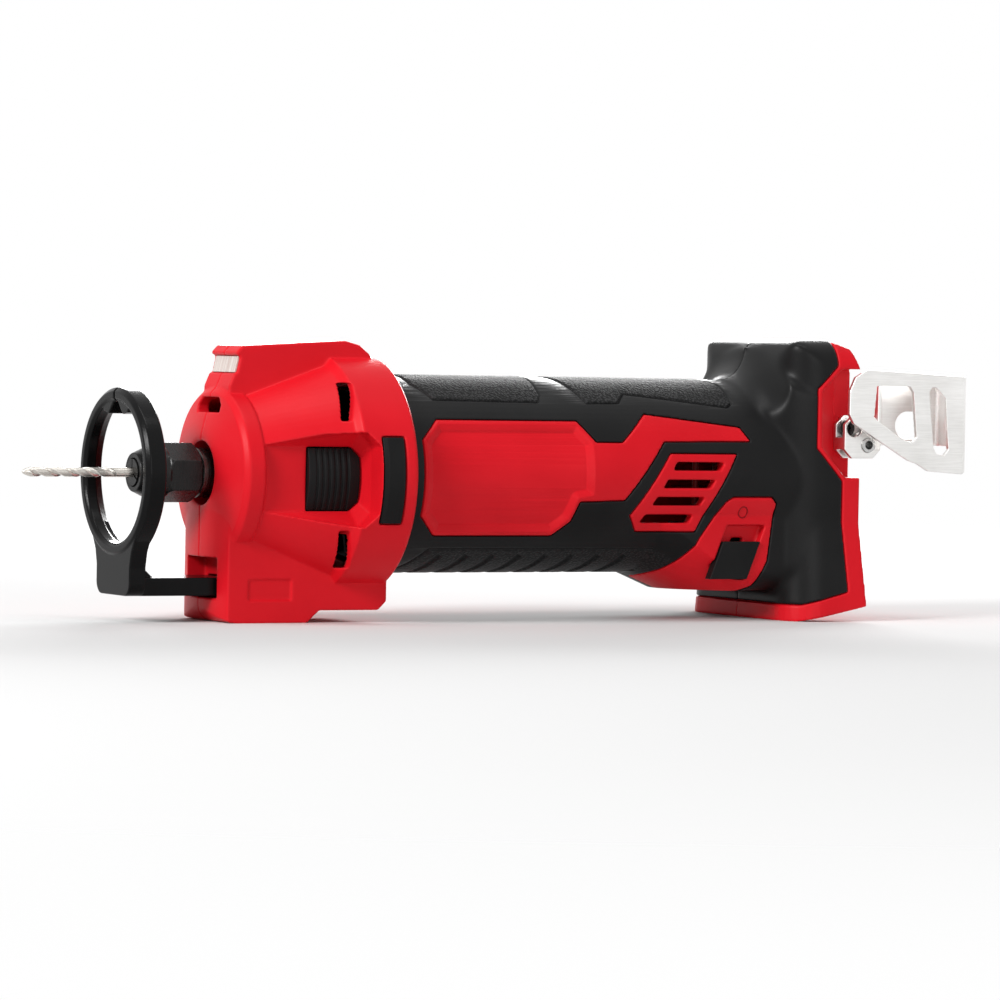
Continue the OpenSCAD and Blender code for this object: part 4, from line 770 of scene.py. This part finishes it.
def twistTree(form):
    tree, start, end = growTree("twistBit", (
        "Tip", "End", "Flute Start", "Flute End", "Radius", "Turns", "Depth", "Height"))
    calc, circle = calculator(tree), 2 * math.pi
    grid = step(tree, "GeometryNodeMeshGrid", {}, Size_X=1.0, Size_Y=1.0, Vertices_X=460, Vertices_Y=65)
    unit = pointParts(tree)
    around = calc("MULTIPLY", calc("ADD", unit["Y"], 0.5), circle)
    length = calc("SUBTRACT", start["End"], start["Tip"])
    x = calc("MULTIPLY_ADD", calc("ADD", unit["X"], 0.5), length, start["Tip"])
    past = calc("SUBTRACT", x, start["Flute Start"])
    left = calc("SUBTRACT", start["Flute End"], x)
    share = calc("DIVIDE", past, calc("SUBTRACT", start["Flute End"], start["Flute Start"]))
    turn = calc("MULTIPLY", calc("MULTIPLY", share, start["Turns"]), circle)
    runIn = calc("MULTIPLY_ADD", past, form["runIn"], 1.0, clamp=True)
    active = calc("MULTIPLY", runIn, calc("MULTIPLY", left, form["runOut"], clamp=True))
    angle = calc("MULTIPLY", calc("SUBTRACT", around, turn), form["flutes"])
    wave = calc("POWER", calc("MAXIMUM", calc("COSINE", angle), 0.0), form["wavePower"])
    groove = calc("MULTIPLY", calc("MULTIPLY", wave, active), start["Depth"])
    ahead = calc("MULTIPLY", calc("SUBTRACT", x, start["Tip"]), form["point"], clamp=True)
    point = calc("POWER", ahead, form["pointPower"])
    close = calc("MULTIPLY", calc("SUBTRACT", start["End"], x), form["close"], clamp=True)
    fluted = calc("MULTIPLY", calc("SUBTRACT", 1.0, groove), start["Radius"])
    r = calc("MULTIPLY", fluted, calc("MULTIPLY", point, close))
    place = step(tree, "ShaderNodeCombineXYZ", {
        "X": x, "Y": calc("MULTIPLY", r, calc("COSINE", around)),
        "Z": calc("MULTIPLY_ADD", r, calc("SINE", around), start["Height"])})
    shape = step(tree, "GeometryNodeSetPosition", {"Geometry": grid, "Position": place})
    shape = step(tree, "GeometryNodeMergeByDistance", {"Geometry": shape}, Distance=form["merge"])
    return closeTree(tree, step(tree, "GeometryNodeSetShadeSmooth", {"Geometry": shape}), start, end)


cutter = grow("cuttingBit", twistTree(bitForm), bitShape)
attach(cutter, "rotor")
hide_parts("bit")

# lock spring: a coil along y, under the lock button
springShape = {"Radius": 3.3 * mm, "Turns": 2.5, "Length": 2.8 * mm, "Wire": 0.24 * mm,
               "Place": atRim(31, -20.1, 0), "Finish": paints["turnedSteel"]}


def springTree():
    tree, start, end = growTree("coilSpring", ("Radius", "Turns", "Length", "Wire"), ("Place",))
    path = step(tree, "GeometryNodeCurveSpiral", {
        "Rotations": start["Turns"], "Start Radius": start["Radius"], "End Radius": start["Radius"],
        "Height": start["Length"]}, Resolution=40)
    wire = step(tree, "GeometryNodeCurvePrimitiveCircle", {"Radius": start["Wire"]}, Resolution=12)
    coil = step(tree, "GeometryNodeCurveToMesh", {"Curve": path, "Profile Curve": wire}, Fill_Caps=True)
    coil = step(tree, "GeometryNodeTransform", {"Geometry": coil, "Translation": start["Place"]},
                Rotation=(-math.pi / 2, 0, 0))
    return closeTree(tree, coil, start, end)


spring = grow("lockCoil", springTree(), springShape)
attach(spring, "housing")
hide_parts("lock_spring")
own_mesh(spring)

# off mark: a thin ring that follows the barrel down to the bezel's flat, in a darkened red that is painted shade
markShape = {"Across": atRim(184.35, 0, 0)[0], "Up": -11.51 * mm, "Half Width": 1.67 * mm, "Half Height": 1.87 * mm,
             "Barrel": 33.0 * mm, "Flat": 30.5 * mm, "Wire": 0.24 * mm, "Height": rim[2] * mm,
             "Finish": paints["markShadedRed"]}


def ringTree():
    tree, start, end = growTree("ringOnBarrel", (
        "Across", "Up", "Half Width", "Half Height", "Barrel", "Flat", "Wire", "Height"))
    calc = calculator(tree)
    circle = step(tree, "GeometryNodeCurvePrimitiveCircle", {}, Resolution=72, Radius=1.0)
    unit = pointParts(tree)
    x = calc("MULTIPLY_ADD", unit["X"], start["Half Width"], start["Across"])
    z = calc("MULTIPLY_ADD", unit["Y"], start["Half Height"], start["Up"])
    chord = calc("SQRT", calc("SUBTRACT", calc("POWER", start["Barrel"], 2.0), calc("POWER", z, 2.0)))
    depth = calc("MAXIMUM", chord, start["Flat"])
    place = step(tree, "ShaderNodeCombineXYZ", {
        "X": x, "Y": calc("MULTIPLY", depth, -1.0), "Z": calc("ADD", z, start["Height"])})
    path = step(tree, "GeometryNodeSetPosition", {"Geometry": circle, "Position": place})
    wire = step(tree, "GeometryNodeCurvePrimitiveCircle", {"Radius": start["Wire"]}, Resolution=10)
    ring = step(tree, "GeometryNodeCurveToMesh", {"Curve": path, "Profile Curve": wire})
    return closeTree(tree, ring, start, end)


offMark = grow("offMark", ringTree(), markShape)
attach(offMark, "housing")

# screws: x, seat to the side, z, shank, head height against the common one, 1 for a head to the right
screwSeats = [
    (50, 14, -40.5, 23, 1, 1), (24, 14, -44.7, 23, 1, 1), (44, 7, 40.3, 13, 1, 1),
    (147, 17, 22, 26, 1, 1), (147, 17, -22, 26, 1, 1), (196, 19, 23, 28, 1, 1),
    (202, 26.5, -28, 35.5, 1, 1), (211, 30, 38, 39, 1, 1), (225.5, -29.1, 17.3, 5.6, 0.72, -1),
]
screwShape = {"Head Radius": 2.8 * mm, "Head Height": 2.2 * mm, "Shank Radius": 1.5 * mm,
              "Socket Radius": 1.3 * mm, "Bevel": 0.35 * mm, "Finish": paints["blackOxide"]}


def screwTree():
    tree, start, end = growTree("seatedScrews", (
        "Head Radius", "Head Height", "Shank Radius", "Socket Radius", "Bevel"))
    calc = calculator(tree)

    def field(name, kind):
        node = tree.nodes.new("GeometryNodeInputNamedAttribute")
        node.data_type, node.inputs["Name"].default_value = kind, name
        return node.outputs["Attribute"]

    def bar(vertices, radius, depth, lift):
        shape = step(tree, "GeometryNodeMeshCylinder", {"Radius": radius, "Depth": depth}, Vertices=vertices)
        up = step(tree, "ShaderNodeCombineXYZ", {"Z": lift})
        return step(tree, "GeometryNodeTransform", {"Geometry": shape, "Translation": up})

    def joined(operation, first, second):
        node = tree.nodes.new("GeometryNodeMeshBoolean")
        node.operation = operation
        link(tree, first, node.inputs["Mesh 1" if operation == "DIFFERENCE" else "Mesh 2"])
        link(tree, second, node.inputs["Mesh 2"])
        return node.outputs[0]

    def atSeats(part, height):
        stretch = step(tree, "ShaderNodeCombineXYZ", {"Z": field(height, "FLOAT")}, X=1.0, Y=1.0)
        return step(tree, "GeometryNodeInstanceOnPoints", {
            "Points": start["Geometry"], "Instance": part, "Rotation": field("turn", "FLOAT_VECTOR"),
            "Scale": stretch})

    tall, wide, bevel = start["Head Height"], start["Head Radius"], start["Bevel"]
    low = calc("SUBTRACT", tall, bevel)
    skirt = bar(48, wide, low, calc("MULTIPLY", low, 0.5))
    crown = bar(48, calc("SUBTRACT", wide, bevel), tall, calc("MULTIPLY", tall, 0.5))
    head = joined("DIFFERENCE", joined("UNION", skirt, crown), bar(6, start["Socket Radius"], tall, tall))
    unit = step(tree, "GeometryNodeMeshCylinder", {"Radius": start["Shank Radius"]}, Vertices=32, Depth=1.0)
    shank = step(tree, "GeometryNodeTransform", {"Geometry": unit}, Translation=(0, 0, -0.5))
    whole = tree.nodes.new("GeometryNodeJoinGeometry")
    for part in (atSeats(head, "cap"), atSeats(shank, "shank")):
        link(tree, part, whole.inputs["Geometry"])
    return closeTree(tree, whole.outputs[0], start, end)


seatMesh = bpy.data.meshes.new("screwSeats")
seatMesh.from_pydata([atRim(*seat[:3]) for seat in screwSeats], [], [])
writeValues(seatMesh, "shank", [seat[3] * mm for seat in screwSeats])
writeValues(seatMesh, "cap", [seat[4] for seat in screwSeats])
writeValues(seatMesh, "turn", [(-seat[5] * math.pi / 2, 0, 0) for seat in screwSeats], "FLOAT_VECTOR")
screws = grow("housingScrews", screwTree(), screwShape, seatMesh)
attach(screws, "housing")
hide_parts("nose_screws", "handle_screws", "hook_screws")

# parts whose own shape is right take a finish only
plainParts = {
    "collet": "blackOxide", "spindle": "burnishedSteel", "fan": "blackMoulding", "armature": "stackIron",
    "windings": "coilCopper", "commutator": "coilCopper", "lamp_board": "circuitBoard",
    "front_bearing": "turnedSteel", "lock_pin": "turnedSteel", "motor_can": "zincPlate", "magnets": "stackIron",
    "brush_ring": "blackMoulding", "brushes": "brushCarbon", "rear_bearing": "turnedSteel",
    "switch_module": "blackMoulding", "control_board": "circuitBoard", "contact_blades": "terminalBrass",
    "leads": "leadSheath", "hook_pin": "turnedSteel",
}
for node, paint in plainParts.items():
    for holder in nodes[node].material_slots:
        holder.material = paints[paint]
print("plain parts dressed,", len(plainParts))
